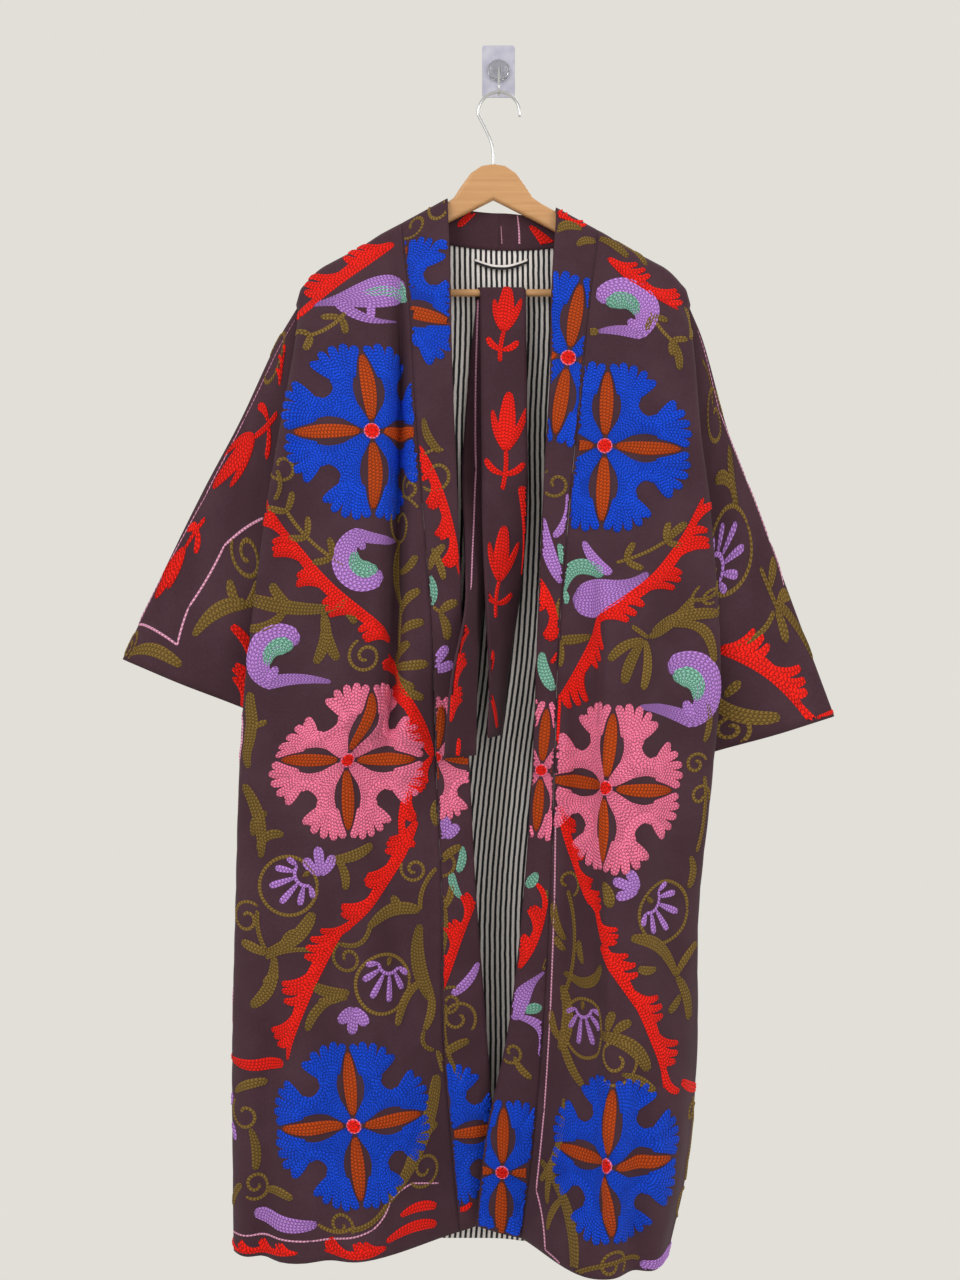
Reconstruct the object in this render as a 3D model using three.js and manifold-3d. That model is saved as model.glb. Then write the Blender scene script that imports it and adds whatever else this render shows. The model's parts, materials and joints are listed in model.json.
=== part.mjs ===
// A lined, embroidered kimono robe on a wooden hanger that hangs from an adhesive wall hook.
// Millimetres, +Z up, the wearer faces -Y, so the wearer's right side is at -X. The origin is the middle of the
// wall plate's back face, and the wall is the plane y = 0. Every cloth piece is a thin wall: a grid of points on its
// middle surface, moved out along the normals to both sides and closed round its rim.
import * as THREE from "three";
import { mergeVertices } from "three/addons/utils/BufferGeometryUtils.js";
import Module from "manifold-3d";

const wasm = await Module();
wasm.setup();

// Driving sizes
const clothThick = 2.0; // embroidered cotton with its lining
const liningThick = 1.0;
const sashThick = 2.0;
const seamGap = 0.3; // between pieces at a seam
const hangX = -7; // the hanger's centre line, a little off the wall hook's
const hangY = -36; // the hanger's plane in front of the wall
const woodThick = 12;
const frontHemZ = -1455;
const backHemZ = -1478;
const underarmV = 0.256; // where the armhole ends, as a share of the side's length
const armholeHalfOpening = 10;
const shoulderWrap = 9; // radius of the cloth's turn over the hanger

// The shoulder's ridge line: distance from the hanger's centre line, height of the cloth's middle
const shoulderSlope = 0.545;
const neckR = 57;
const neckZ = -177.5;
const armEndR = 205;
const ridgeSeat = clothThick / 2 + 0.8; // the cloth's middle lies this far above the wood
const neckLift = 3; // and this much further where the neckband's seams turn over it

// One section of each front, from the shoulder (v = 0) to the hem (v = 1).
// in: the neckband's free edge. seam: band to panel. mid: half way across. edge: the outer fold. tuck: the side seam.
const frontColumns = ["v", "inX", "inY", "seamX", "seamY", "midY", "edgeX", "edgeY", "tuckX", "tuckY"];
const rightFrontRows = [
  [0, -64, -47, -121, -47, -47, -245, -47, -252, -36],
  [0.018, -63, -51, -119, -50, -52, -248, -48, -247, -38],
  [0.08, -60, -68, -111, -66, -76, -251, -62, -226, -43],
  [0.18, -57, -80, -103, -80, -93, -267, -84, -205, -55],
  [0.256, -53, -86, -96, -86, -99, -280, -91, -198, -60],
  [0.414, -45, -92, -81, -94, -109, -303, -96, -199, -62],
  [0.528, -38, -90, -77, -94, -115, -312, -96, -206, -60],
  [0.66, -30, -82, -70, -90, -120, -317, -94, -228, -57],
  [0.8, -17, -64, -69, -76, -124, -321, -93, -256, -54],
  [0.91, -7, -49, -59, -60, -130, -320, -96, -276, -53],
  [1, -3, -43, -49, -52, -136, -318, -100, -282, -53],
];
const leftFrontRows = [
  [0, 71, -47, 123, -47, -47, 231, -47, 238, -36],
  [0.018, 70, -51, 121, -50, -52, 234, -48, 233, -38],
  [0.08, 64, -68, 110, -67, -78, 238, -62, 212, -43],
  [0.18, 61, -80, 97, -84, -97, 243, -84, 180, -55],
  [0.256, 55, -87, 87, -91, -105, 253, -91, 168, -60],
  [0.414, 46, -92, 71, -96, -117, 264, -98, 162, -62],
  [0.528, 41, -92, 66, -98, -125, 254, -98, 163, -60],
  [0.66, 31, -86, 61, -96, -135, 238, -98, 170, -57],
  [0.8, 12, -78, 52, -88, -150, 235, -105, 186, -55],
  [0.91, -16, -72, 41, -76, -164, 222, -112, 190, -55],
  [1, -28, -68, 27, -70, -174, 198, -118, 172, -55],
];
// The back: its two side folds and its depth
const backColumns = ["v", "rightX", "rightY", "midY", "leftX", "leftY"];
const backRows = [
  [0, -245, -24, -24, 231, -24],
  [0.018, -247, -24, -24, 233, -24],
  [0.08, -249, -22, -21, 236, -22],
  [0.18, -265, -20, -17, 241, -20],
  [0.28, -283, -20, -15, 256, -20],
  [0.414, -303, -21, -14, 263, -21],
  [0.528, -314, -21, -14, 253, -21],
  [0.66, -321, -21, -15, 238, -21],
  [0.8, -325, -21, -15, 235, -21],
  [0.91, -324, -21, -16, 222, -21],
  [1, -322, -21, -17, 199, -21],
];
// The largest folds. A trough sinks a line of the cloth. A step lifts it on the outer side of the line.
const stepRun = 120; // how far from the line a step's lift has died away
const foldColumns = ["kind", "topX", "topZ", "endX", "endZ", "width", "depth"];
const frontFolds = {
  right: [
    ["trough", -113, -225, -133, -880, 10, 32],
    ["trough", -165, -820, -95, -1230, 24, 13],
    ["trough", -236, -380, -262, -1010, 22, 8],
    ["trough", -188, -980, -205, -1600, 22, 12],
    ["trough", -268, -1120, -286, -1600, 16, 14],
  ],
  left: [
    ["step", 118, -620, 118, -1420, 3.5, 24],
    ["trough", 150, -250, 190, -640, 22, 9],
    ["trough", 205, -560, 196, -1180, 20, 9],
    ["trough", 160, -1180, 150, -1600, 16, 16],
    ["trough", 92, -760, 84, -1250, 12, 9],
  ],
};
const backFolds = [
  ["trough", -205, -330, -232, -1600, 26, -10],
  ["trough", -130, -560, -128, -1600, 24, -9],
  ["trough", -58, -300, -40, -1250, 26, -7],
  ["trough", 24, -700, 46, -1600, 28, -10],
  ["trough", 108, -420, 122, -1600, 24, -9],
  ["trough", 176, -330, 172, -1300, 24, -8],
];
// The sleeves' outer edges from the armhole to the cuff, and the inner edge's ends
const sleeveColumns = ["k", "x", "y", "z"];
const sleeveEdges = {
  right: {
    outer: [
      [0, -252, -36, -306],
      [0.1, -276, -43, -352],
      [0.3, -319, -51, -451],
      [0.5, -363, -56, -538],
      [0.75, -412, -59, -640],
      [1, -462, -61, -748],
    ],
    inner: [
      [0, -199, -59, -588],
      [0.12, -217, -60, -612],
      [0.35, -222, -61, -684],
      [0.7, -236, -61, -764],
      [1, -246, -61, -834],
    ],
  },
  left: {
    outer: [
      [0, 238, -36, -306],
      [0.1, 254, -43, -352],
      [0.3, 284, -51, -470],
      [0.5, 318, -56, -563],
      [0.75, 364, -59, -690],
      [1, 411, -61, -818],
    ],
    inner: [
      [0, 168, -59, -590],
      [0.12, 187, -60, -615],
      [0.35, 190, -61, -702],
      [0.7, 188, -61, -800],
      [1, 188, -61, -882],
    ],
  },
};
const sleeveHalfDepth = 15; // at the cuff

// A cubic through a table's rows, read by the name of its first column
function table(columns, rows) {
  const key = rows.map((row) => row[0]);
  const slope = (c, i) => {
    const a = Math.max(i - 1, 0);
    const b = Math.min(i + 1, rows.length - 1);
    return (rows[b][c] - rows[a][c]) / (key[b] - key[a]);
  };
  return (at) => {
    const t = Math.min(Math.max(at, key[0]), key[key.length - 1]);
    let i = key.findIndex((k) => k > t) - 1;
    if (i < 0) i = key.length - 2;
    const h = key[i + 1] - key[i];
    const s = (t - key[i]) / h;
    const found = {};
    columns.forEach((name, c) => {
      const [p, q] = [rows[i][c], rows[i + 1][c]];
      const [m, n] = [slope(c, i) * h, slope(c, i + 1) * h];
      found[name] =
        p * (1 + 2 * s) * (1 - s) ** 2 + m * s * (1 - s) ** 2 + q * s * s * (3 - 2 * s) - n * s * s * (1 - s);
    });
    return found;
  };
}

const smooth = (a, b, x) => {
  const t = Math.min(Math.max((x - a) / (b - a), 0), 1);
  return t * t * (3 - 2 * t);
};

// A path through plan points [x, y], as a centripetal spline, given as many even steps along it
function planPath(stations, folds, zAt, steps = 80) {
  const marks = stations.map(([x, y]) => new THREE.Vector3(x, y, 0));
  const curve = new THREE.CatmullRomCurve3(marks, false, "centripetal");
  const points = curve.getPoints(steps);
  const whole = stations[stations.length - 1][0] - stations[0][0];
  points.forEach((p, i) => {
    const share = i / steps;
    const held = smooth(0, 0.05, share) * (1 - smooth(0.72, 0.86, share));
    p.y += foldDepth(folds, p.x, zAt(share), Math.sign(whole)) * held;
  });
  const lengths = [0];
  for (let i = 1; i < points.length; i++) lengths.push(lengths[i - 1] + points[i].distanceTo(points[i - 1]));
  const total = lengths[lengths.length - 1];
  return (u) => {
    const want = Math.min(Math.max(u, 0), 1) * total;
    let i = lengths.findIndex((l) => l >= want);
    if (i < 1) i = 1;
    const t = (want - lengths[i - 1]) / (lengths[i] - lengths[i - 1]);
    return points[i - 1].clone().lerp(points[i], t);
  };
}

// How far the folds sink the cloth at a place, away from the viewer in front
function foldDepth(folds, x, z, side) {
  const fade = 90; // a fold grows and dies away over this length
  return folds.reduce((sum, row) => {
    const fold = Object.fromEntries(foldColumns.map((name, i) => [name, row[i]]));
    const along = (z - fold.topZ) / (fold.endZ - fold.topZ);
    const centre = fold.topX + (fold.endX - fold.topX) * along;
    const shown = smooth(fold.topZ + 10, fold.topZ - fade, z) * smooth(fold.endZ - 10, fold.endZ + fade, z);
    const off = (x - centre) / fold.width;
    const beyond = (x - centre) * side;
    const lifted = smooth(-fold.width, fold.width, beyond) * smooth(stepRun, 0.2 * stepRun, beyond);
    const shape = fold.kind === "step" ? -lifted : Math.exp(-off * off);
    return sum + fold.depth * shown * shape;
  }, 0);
}

// Height of the shoulder's ridge at a distance from the hanger's centre line
function ridgeZ(x) {
  const r = Math.abs(x - hangX);
  const past = Math.max(r - armEndR, 0);
  return neckZ + neckLift * smooth(165, 135, r) - shoulderSlope * (r - neckR) - 0.0165 * past * past;
}

// The back panel's upper edge: the neckline between the shoulders, and the shoulders
const necklineDrop = 24;
const neckMiddle = (leftFrontRows[0][3] + rightFrontRows[0][3]) / 2;
const neckHalf = (leftFrontRows[0][3] - rightFrontRows[0][3]) / 2;
const neckTurn = 0.1; // share of the half neckline in which it drops behind the hanger
function neckShare(x) {
  return Math.min(Math.max((1 - Math.abs(x - neckMiddle) / neckHalf) / neckTurn, 0), 1);
}
function backTopZ(x) {
  const t = (x - neckMiddle) / neckHalf;
  if (Math.abs(t) >= 1) return ridgeZ(x);
  const chord = (ridgeZ(rightFrontRows[0][3]) * (1 - t) + ridgeZ(leftFrontRows[0][3]) * (1 + t)) / 2;
  return chord - shoulderWrap * neckShare(x) - (necklineDrop - shoulderWrap) * Math.cos((t * Math.PI) / 2);
}

const depthOverRidge = (drop) => Math.sqrt(1 - (1 - Math.min(Math.max(drop, 0) / shoulderWrap, 1)) ** 2);
// The same for a panel, which parts from its neighbour at once at the side seam (side = 1)
const turnOver = (drop, side) => (drop > 0 ? depthOverRidge(drop + 4 * side) : 0);
const sections = { right: table(frontColumns, rightFrontRows), left: table(frontColumns, leftFrontRows) };
const backSection = table(backColumns, backRows);
const sideOf = { right: -1, left: 1 };

// Half the armhole's opening, front to back, where the sleeve joins the body
const armholeOpening = (v) =>
  v < underarmV ? armholeHalfOpening * Math.sqrt(Math.sin((Math.PI * v) / underarmV)) : 0;
const seamSide = (clothThick + seamGap) / 2; // a cloth's middle lies this far to its side of a seam's plane

// A place on a front panel: u from the band's seam round the outer fold to the side seam, v from shoulder to hem
function frontPoint(name, u, v) {
  const s = sections[name](v);
  const side = sideOf[name];
  const top = sections[name](0);
  const topOf = (share) => ridgeZ(top.seamX + (top.tuckX - top.seamX) * share);
  const zOf = (share) => topOf(share) + (frontHemZ - topOf(share)) * v;
  const tuckY = s.tuckY - armholeOpening(v) - seamSide;
  const stations = [
    [s.seamX, s.seamY],
    [s.seamX * 0.55 + s.edgeX * 0.45, s.midY],
    [s.edgeX - side * 24, s.midY * 0.72 + s.edgeY * 0.28],
    [s.edgeX - side * 4, s.edgeY - 9 * smooth(0, 0.08, v)],
    [s.edgeX, s.edgeY],
    [(s.edgeX + s.tuckX) / 2, (s.edgeY + tuckY) / 2 - 3 * smooth(0.05, 0.2, v)],
    [s.tuckX, tuckY],
  ];
  const p = planPath(stations, frontFolds[name], zOf)(u);
  p.z = zOf(u);
  p.y = hangY + (p.y - hangY) * turnOver(topOf(u) - p.z, smooth(0.85, 1, u));
  return p;
}

// A place on the neckband's front run: a from its free edge to the seam
function bandPoint(name, a, v) {
  const s = sections[name](v);
  const top = sections[name](0);
  const z0 = ridgeZ(top.inX + (top.seamX - top.inX) * a);
  const z = z0 + (frontHemZ + 14 * (1 - a) - z0) * v;
  const bulge = 3 * Math.sin(Math.PI * a) * smooth(0, 0.08, v);
  const y = s.inY + (s.seamY - s.inY) * a - bulge;
  return new THREE.Vector3(s.inX + (s.seamX - s.inX) * a, hangY + (y - hangY) * depthOverRidge(z0 - z), z);
}

// A place on the neckband's back run: k from the shoulder, down behind the hanger, to the centre back
const bandTurn = 0.28;
const bandTurnRows = [0.18, 0.46, 1];
const bandTopZ = -188.5;
function backBandPoint(name, a, k) {
  const top = sections[name](0);
  const over = Math.min(k / bandTurn, 1);
  const along = Math.max((k - bandTurn) / (1 - bandTurn), 0);
  const seamX = top.seamX + (neckMiddle - top.seamX) * (neckTurn * over + (1 - neckTurn) * along);
  const inX = top.inX + (neckMiddle - top.inX) * along;
  const seamZ = backTopZ(seamX) + seamGap + 0.4;
  const side = ridgeZ(top.inX) - shoulderWrap * over;
  const inZ = side + (bandTopZ - side) * smooth(0, 1, along);
  const y = hangY + (11 - a) * depthOverRidge(shoulderWrap * over);
  return new THREE.Vector3(inX + (seamX - inX) * a, y, inZ + (seamZ - inZ) * a);
}

// A place on the back panel: u from the right side seam to the left one
function backPoint(u, v) {
  const s = backSection(v);
  const [r, l] = [sections.right(v), sections.left(v)];
  const open = armholeOpening(v) + seamSide;
  const stations = [
    [r.tuckX, r.tuckY + open],
    [s.rightX, s.rightY - 5 * smooth(0, 0.1, v)],
    [s.rightX + 4, s.rightY + 2 * smooth(0, 0.1, v)],
    [s.rightX + 26, s.midY * 0.75 + s.rightY * 0.25],
    [s.rightX * 0.5, s.midY],
    [0, s.midY],
    [s.leftX * 0.5, s.midY],
    [s.leftX - 26, s.midY * 0.75 + s.leftY * 0.25],
    [s.leftX - 4, s.leftY + 2 * smooth(0, 0.1, v)],
    [s.leftX, s.leftY - 5 * smooth(0, 0.1, v)],
    [l.tuckX, l.tuckY + open],
  ];
  const p = planPath(stations, [], () => 0, 160)(u);
  const x0 = sections.right(0).tuckX + (sections.left(0).tuckX - sections.right(0).tuckX) * u;
  const z0 = backTopZ(x0);
  const z = z0 + (backHemZ - z0) * v;
  const inside = smooth(0.12, 0.2, u) * smooth(0.88, 0.8, u);
  p.y += foldDepth(backFolds, p.x, z, 1) * inside;
  const side = smooth(0.15, 0, u) + smooth(0.85, 1, u);
  p.y = hangY + (p.y - hangY) * turnOver(z0 - z + shoulderWrap * neckShare(x0), side);
  p.x += (x0 - p.x) * (1 - smooth(0, 0.03, v));
  p.z = z;
  return p;
}

// A place on a sleeve: phi round it from its outer edge over the front, k from the armhole to the cuff
const sleeveCurves = Object.fromEntries(
  Object.entries(sleeveEdges).map(([name, e]) => [
    name,
    { outer: table(sleeveColumns, e.outer), inner: table(sleeveColumns, e.inner) },
  ]),
);
function sleevePoint(name, phi, k) {
  const lens = (at) => {
    const [o, i] = [sleeveCurves[name].outer(at), sleeveCurves[name].inner(at)];
    const t = (1 - Math.cos(phi)) / 2;
    const half = armholeHalfOpening + (sleeveHalfDepth - armholeHalfOpening) * smooth(0, 0.9, at) ** 0.8;
    const sag = 5 * Math.sin(3 * Math.PI * t + 5 * at) * smooth(0.15, 0.5, at) * Math.abs(Math.sin(phi));
    const pinch = 1 - 0.62 * smooth(0.65, 1, t) * (1 - smooth(0.15, 0.5, at));
    const bulge = (half + sag) * pinch * Math.sin(phi);
    return new THREE.Vector3(o.x + (i.x - o.x) * t, o.y + (i.y - o.y) * t - bulge, o.z + (i.z - o.z) * t);
  };
  const p = lens(k);
  const v = underarmV * (0.47 - 0.455 * Math.cos(phi));
  const s = sections[name](v);
  const sign = Math.sin(phi) >= 0 ? -1 : 1;
  const z0 = ridgeZ(sections[name](0).tuckX);
  const mid = hangY + (s.tuckY - hangY) * depthOverRidge((z0 - frontHemZ) * v);
  const open = Math.abs(Math.sin(phi)) > 1e-6 ? 1 : 0;
  const half = Math.max(armholeOpening(v) - seamSide, 0.6 * clothThick) * open;
  const root = new THREE.Vector3(s.tuckX, mid + sign * half, z0 + (frontHemZ - z0) * v);
  root.x += sideOf[name] * seamGap;
  return p.add(root.sub(lens(0)).multiplyScalar((1 - k) ** 3));
}

// A closed wall round a grid of points. Normals may be set for whole columns or rows, as at a mitred seam.
function wall(grid, thick, { ring = false, flip = false, normals = null } = {}) {
  const rows = grid.length;
  const cols = grid[0].length;
  const at = (i, j) => grid[i][ring ? (j + cols) % cols : Math.min(Math.max(j, 0), cols - 1)];
  const position = [];
  for (let i = 0; i < rows; i++)
    for (let j = 0; j < cols; j++) {
      const across = at(i, j + 1).clone().sub(at(i, j - 1));
      const down = at(Math.min(i + 1, rows - 1), j).clone().sub(at(Math.max(i - 1, 0), j));
      let n = across.cross(down).normalize();
      if (flip) n.negate();
      n = (normals && normals(i, j, n)) || n;
      for (const s of [0.5, -0.5]) position.push(...at(i, j).clone().addScaledVector(n, s * thick).toArray());
    }
  const id = (i, j, inner) => 2 * (i * cols + (ring ? (j + cols) % cols : j)) + (inner ? 1 : 0);
  const index = [];
  const quad = (a, b, c, d) => (flip ? index.push(a, c, b, a, d, c) : index.push(a, b, c, a, c, d));
  const lastCol = ring ? cols : cols - 1;
  for (let i = 0; i < rows - 1; i++)
    for (let j = 0; j < lastCol; j++) {
      quad(id(i, j), id(i, j + 1), id(i + 1, j + 1), id(i + 1, j));
      quad(id(i, j, true), id(i + 1, j, true), id(i + 1, j + 1, true), id(i, j + 1, true));
    }
  for (let j = 0; j < lastCol; j++) {
    quad(id(0, j, true), id(0, j + 1, true), id(0, j + 1), id(0, j));
    quad(id(rows - 1, j), id(rows - 1, j + 1), id(rows - 1, j + 1, true), id(rows - 1, j, true));
  }
  if (!ring)
    for (let i = 0; i < rows - 1; i++) {
      quad(id(i, 0), id(i + 1, 0), id(i + 1, 0, true), id(i, 0, true));
      quad(id(i, cols - 1, true), id(i + 1, cols - 1, true), id(i + 1, cols - 1), id(i, cols - 1));
    }
  return new THREE.BufferGeometry()
    .setAttribute("position", new THREE.BufferAttribute(new Float32Array(position), 3))
    .setIndex(index);
}

const steps = (n, ease = (t) => t) => Array.from({ length: n + 1 }, (_, i) => ease(i / n));
const length = -frontHemZ + neckZ;
// Rows crowd where the cloth turns over the hanger
const wrapRows = [0, 0.5, 1.8, 4.5, 9.5, 24, 52].map((mm) => mm / length);
// and near the armhole's end
const armRows = [0.075, 0.11, 0.15, 0.19, 0.22, 0.238, 0.25, underarmV];
const bodyRows = [...wrapRows, ...armRows, ...steps(11, (t) => 0.3 + 0.7 * t)];
const up = new THREE.Vector3(0, 0, 1);

const cloth = new THREE.MeshStandardMaterial({ color: "#4c333b", roughness: 0.85, metalness: 0 });
const stripe = new THREE.MeshStandardMaterial({ color: "#8e8a8c", roughness: 0.8, metalness: 0 });
const wood = new THREE.MeshStandardMaterial({ color: "#c8935c", roughness: 0.45, metalness: 0 });
const chrome = new THREE.MeshStandardMaterial({ color: "#c9ccd0", roughness: 0.15, metalness: 1 });
const film = new THREE.MeshStandardMaterial({ color: "#b4b4c4", roughness: 0.3, metalness: 0 });

function frontPanel(name) {
  const across = steps(17);
  const inset = seamGap / 320;
  const grid = bodyRows.map((v) => across.map((u, j) => frontPoint(name, j === 0 ? inset : u, v)));
  grid[0].forEach((p) => (p.y -= seamGap / 2));
  const normals = (i, j, n) => (i === 0 ? up : j === 0 ? seamNormal(name, bodyRows[i]) : n);
  return new THREE.Mesh(wall(grid, clothThick, { flip: name === "left", normals }), cloth);
}

// The direction out of the cloth at the band's seam, shared by both pieces there
function seamNormal(name, v) {
  if (v === 0) return up;
  const side = sideOf[name];
  const across = frontPoint(name, 0.04, v).sub(bandPoint(name, 0.6, v));
  const down = bandPoint(name, 1, Math.min(v + 0.004, 1)).sub(bandPoint(name, 1, Math.max(v - 0.004, 0)));
  const n = across.cross(down);
  n.x *= smooth(0, 0.02, v);
  return n.normalize().multiplyScalar(-side);
}

function neckband(name) {
  const centreRows = [1, 0.86, 0.71, 0.57, 0.42, ...bandTurnRows.toReversed().map((t) => t * bandTurn)];
  const across = steps(4);
  const back = centreRows.map((k) => across.map((a) => backBandPoint(name, a, k)));
  const front = bodyRows.map((v) => across.map((a) => bandPoint(name, a, v)));
  const grid = [...back, ...front];
  const inset = seamGap / 2;
  grid.forEach((row) => {
    const edge = row[row.length - 1];
    edge.addScaledVector(row[row.length - 2].clone().sub(edge).normalize(), inset);
  });
  grid[0].forEach((p) => (p.x += sideOf[name] * inset));
  const normals = (i, j, n) => {
    if (i === back.length) return up;
    return j === across.length - 1 && i > back.length ? seamNormal(name, bodyRows[i - back.length]) : n;
  };
  return new THREE.Mesh(wall(grid, clothThick, { flip: name === "left", normals }), cloth);
}

// Columns of the back panel, with one at each neckline seam and one just inside it
const seamShare = (x) => {
  const [r, l] = [sections.right(0).tuckX, sections.left(0).tuckX];
  return (x - r) / (l - r);
};
const neckAt = (side, turned) => seamShare(neckMiddle + side * neckHalf * (1 - neckTurn * turned));
const between = (n, a, b) => steps(n, (t) => a + (b - a) * t);
const backAcross = [
  ...between(6, 0, neckAt(-1, 0)),
  ...bandTurnRows.map((t) => neckAt(-1, t)),
  ...between(12, neckAt(-1, 1), neckAt(1, 1)).slice(1, -1),
  ...bandTurnRows.toReversed().map((t) => neckAt(1, t)),
  ...between(6, neckAt(1, 0), 1),
];
const backGrid = bodyRows.map((v) => backAcross.map((u) => backPoint(u, v)));
backGrid[0].forEach((p) => (p.y += seamGap / 2));
function backPanel() {
  const onRidge = (j) => neckShare(backGrid[0][j].x) === 0;
  const normals = (i, j, n) => (i === 0 && onRidge(j) ? up : n);
  return new THREE.Mesh(wall(backGrid, clothThick, { flip: true, normals }), cloth);
}

// The striped lining, made from the back panel's points moved in
const liningFrom = { row: 6, column: 4 };
function backLining() {
  const offset = clothThick / 2 + seamGap + liningThick / 2;
  const grid = [];
  for (let i = liningFrom.row; i < backGrid.length; i++) {
    const row = [];
    for (let j = liningFrom.column; j < backAcross.length - liningFrom.column; j++) {
      const below = backGrid[Math.min(i + 1, backGrid.length - 1)][j];
      const across = backGrid[i][j + 1].clone().sub(backGrid[i][j - 1]);
      const n = across.cross(below.clone().sub(backGrid[i - 1][j])).normalize();
      row.push(backGrid[i][j].clone().addScaledVector(n, -offset));
    }
    grid.push(row);
  }
  return new THREE.Mesh(wall(grid, liningThick), stripe);
}

function sleeve(name) {
  const round = Array.from({ length: 22 }, (_, i) => (2 * Math.PI * i) / 22);
  const along = [0, 0.03, 0.09, 0.18, 0.3, 0.44, 0.58, 0.72, 0.86, 1];
  const grid = along.map((k) => round.map((phi) => sleevePoint(name, phi, k)));
  return new THREE.Mesh(wall(grid, clothThick, { ring: true, flip: name === "right" }), cloth);
}

// A solid from a mesh's geometry, for cutting, and back again
function toSolid(geometry) {
  const bare = geometry.clone();
  ["normal", "uv"].forEach((name) => bare.deleteAttribute(name));
  const merged = mergeVertices(bare, 1e-3);
  return new wasm.Manifold(
    new wasm.Mesh({
      numProp: 3,
      vertProperties: merged.attributes.position.array,
      triVerts: new Uint32Array(merged.index.array),
    }),
  );
}
function fromSolid(solid) {
  const mesh = solid.getMesh();
  return new THREE.BufferGeometry()
    .setAttribute("position", new THREE.BufferAttribute(mesh.vertProperties, 3))
    .setIndex(new THREE.BufferAttribute(mesh.triVerts, 1));
}

// The hanger: a flat wooden bow whose arms carry the shoulders, with a lobe at each end for the bar
const barRadius = 4.5;
const barZ = -291;
const armDepth = 24;
const armTipR = 219;
const bevel = 4.5;
const woodTopZ = (r) => neckZ - ridgeSeat - shoulderSlope * (r - neckR);
function hangerWood() {
  const z = (r) => woodTopZ(r) - bevel;
  const half = [
    [0, -131 - bevel],
    [13, -133 - bevel],
    [25, -141 - bevel],
    [36, -156 - bevel],
    [46, -171.5 - bevel],
    [neckR, z(neckR)],
    [armEndR - 8, z(armEndR - 8)],
    [armTipR - 9, z(armTipR) + 1],
    [armTipR - bevel, z(armTipR) - 12],
    [armTipR - bevel - 2, barZ - 8],
    [armTipR - 16, barZ - 11],
    [armTipR - 30, barZ - 5],
    [armTipR - 44, z(armTipR - 44) - armDepth + bevel * 2],
    [neckR, z(neckR) - armDepth + bevel * 2],
    [0, -175 + bevel],
  ];
  const outline = [...half, ...half.slice(1, -1).reverse().map(([r, h]) => [-r, h])];
  const shape = new THREE.Shape(outline.map(([r, h]) => new THREE.Vector2(r, h)).reverse());
  const geometry = new THREE.ExtrudeGeometry(shape, {
    depth: woodThick - 2 * bevel,
    bevelEnabled: true,
    bevelThickness: bevel,
    bevelSize: bevel,
    bevelSegments: 3,
    curveSegments: 1,
  });
  geometry.translate(0, 0, -(woodThick - 2 * bevel) / 2);
  geometry.rotateX(Math.PI / 2);
  geometry.translate(hangX, hangY, 0);
  const round = barRadius + seamGap;
  const socket = new THREE.CylinderGeometry(round, round, 2 * barHalf + 2 * seamGap, 16);
  socket.rotateZ(Math.PI / 2).translate(hangX, hangY, barZ);
  const stem = new THREE.CylinderGeometry(hookWire / 2 + 2 * seamGap, hookWire / 2 + 2 * seamGap, 24, 12);
  stem.rotateX(Math.PI / 2).translate(hangX, hangY, -131 - 24 / 2 + 4);
  return new THREE.Mesh(fromSolid(toSolid(geometry).subtract(toSolid(socket)).subtract(toSolid(stem))), wood);
}
const barHalf = armTipR - 12;
function hangerBar() {
  const bar = new THREE.CylinderGeometry(barRadius, barRadius, 2 * barHalf, 16);
  bar.rotateZ(Math.PI / 2).translate(hangX, hangY, barZ);
  return new THREE.Mesh(bar, wood);
}

// A wire bent along points, round in section
function wire(points, diameter, stepsAlong, sides) {
  const path = new THREE.CatmullRomCurve3(points.map((p) => new THREE.Vector3(...p)), false, "centripetal");
  const section = new THREE.Shape();
  steps(sides - 1, (t) => (2 * Math.PI * t * (sides - 1)) / sides).forEach((angle, i) => {
    const [x, y] = [(diameter / 2) * Math.cos(angle), (diameter / 2) * Math.sin(angle)];
    if (i === 0) section.moveTo(x, y);
    else section.lineTo(x, y);
  });
  return new THREE.ExtrudeGeometry(section, { steps: stepsAlong, bevelEnabled: false, extrudePath: path });
}

const hookWire = 4;
const hookR = 26;
const hookTopZ = -38.5;
function hangerHook() {
  const centreZ = hookTopZ - hookR - hookWire / 2;
  const arc = steps(14, (t) => -0.12 + t * (Math.PI + 0.2)).map((angle) => [
    hookR * Math.cos(angle),
    hangY,
    centreZ + hookR * Math.sin(angle),
  ]);
  const stemTop = -118;
  const bend = [[hookR * -0.62, hangY, -88], [-9.5, hangY, -103], [hangX, hangY, stemTop]];
  const points = [...arc, ...bend, [hangX, hangY, -138]];
  return new THREE.Mesh(wire(points, hookWire, 40, 8), chrome);
}

// The adhesive wall hook: a plate with rounded corners, a round boss and a bent chrome hook
const plateWidth = 42;
const plateHeight = 66;
const plateThick = 2;
function roundedPlate() {
  const [w, h, r] = [plateWidth / 2, plateHeight / 2, 4];
  const shape = new THREE.Shape();
  shape.moveTo(-w + r, -h);
  shape.lineTo(w - r, -h).absarc(w - r, -h + r, r, -Math.PI / 2, 0);
  shape.lineTo(w, h - r).absarc(w - r, h - r, r, 0, Math.PI / 2);
  shape.lineTo(-w + r, h).absarc(-w + r, h - r, r, Math.PI / 2, Math.PI);
  shape.lineTo(-w, -h + r).absarc(-w + r, -h + r, r, Math.PI, 1.5 * Math.PI);
  const settings = { depth: plateThick, bevelEnabled: false, curveSegments: 4 };
  const plate = new THREE.ExtrudeGeometry(shape, settings);
  return new THREE.Mesh(plate.rotateX(Math.PI / 2), film);
}
const bossR = 14;
const bossThick = 7;
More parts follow.
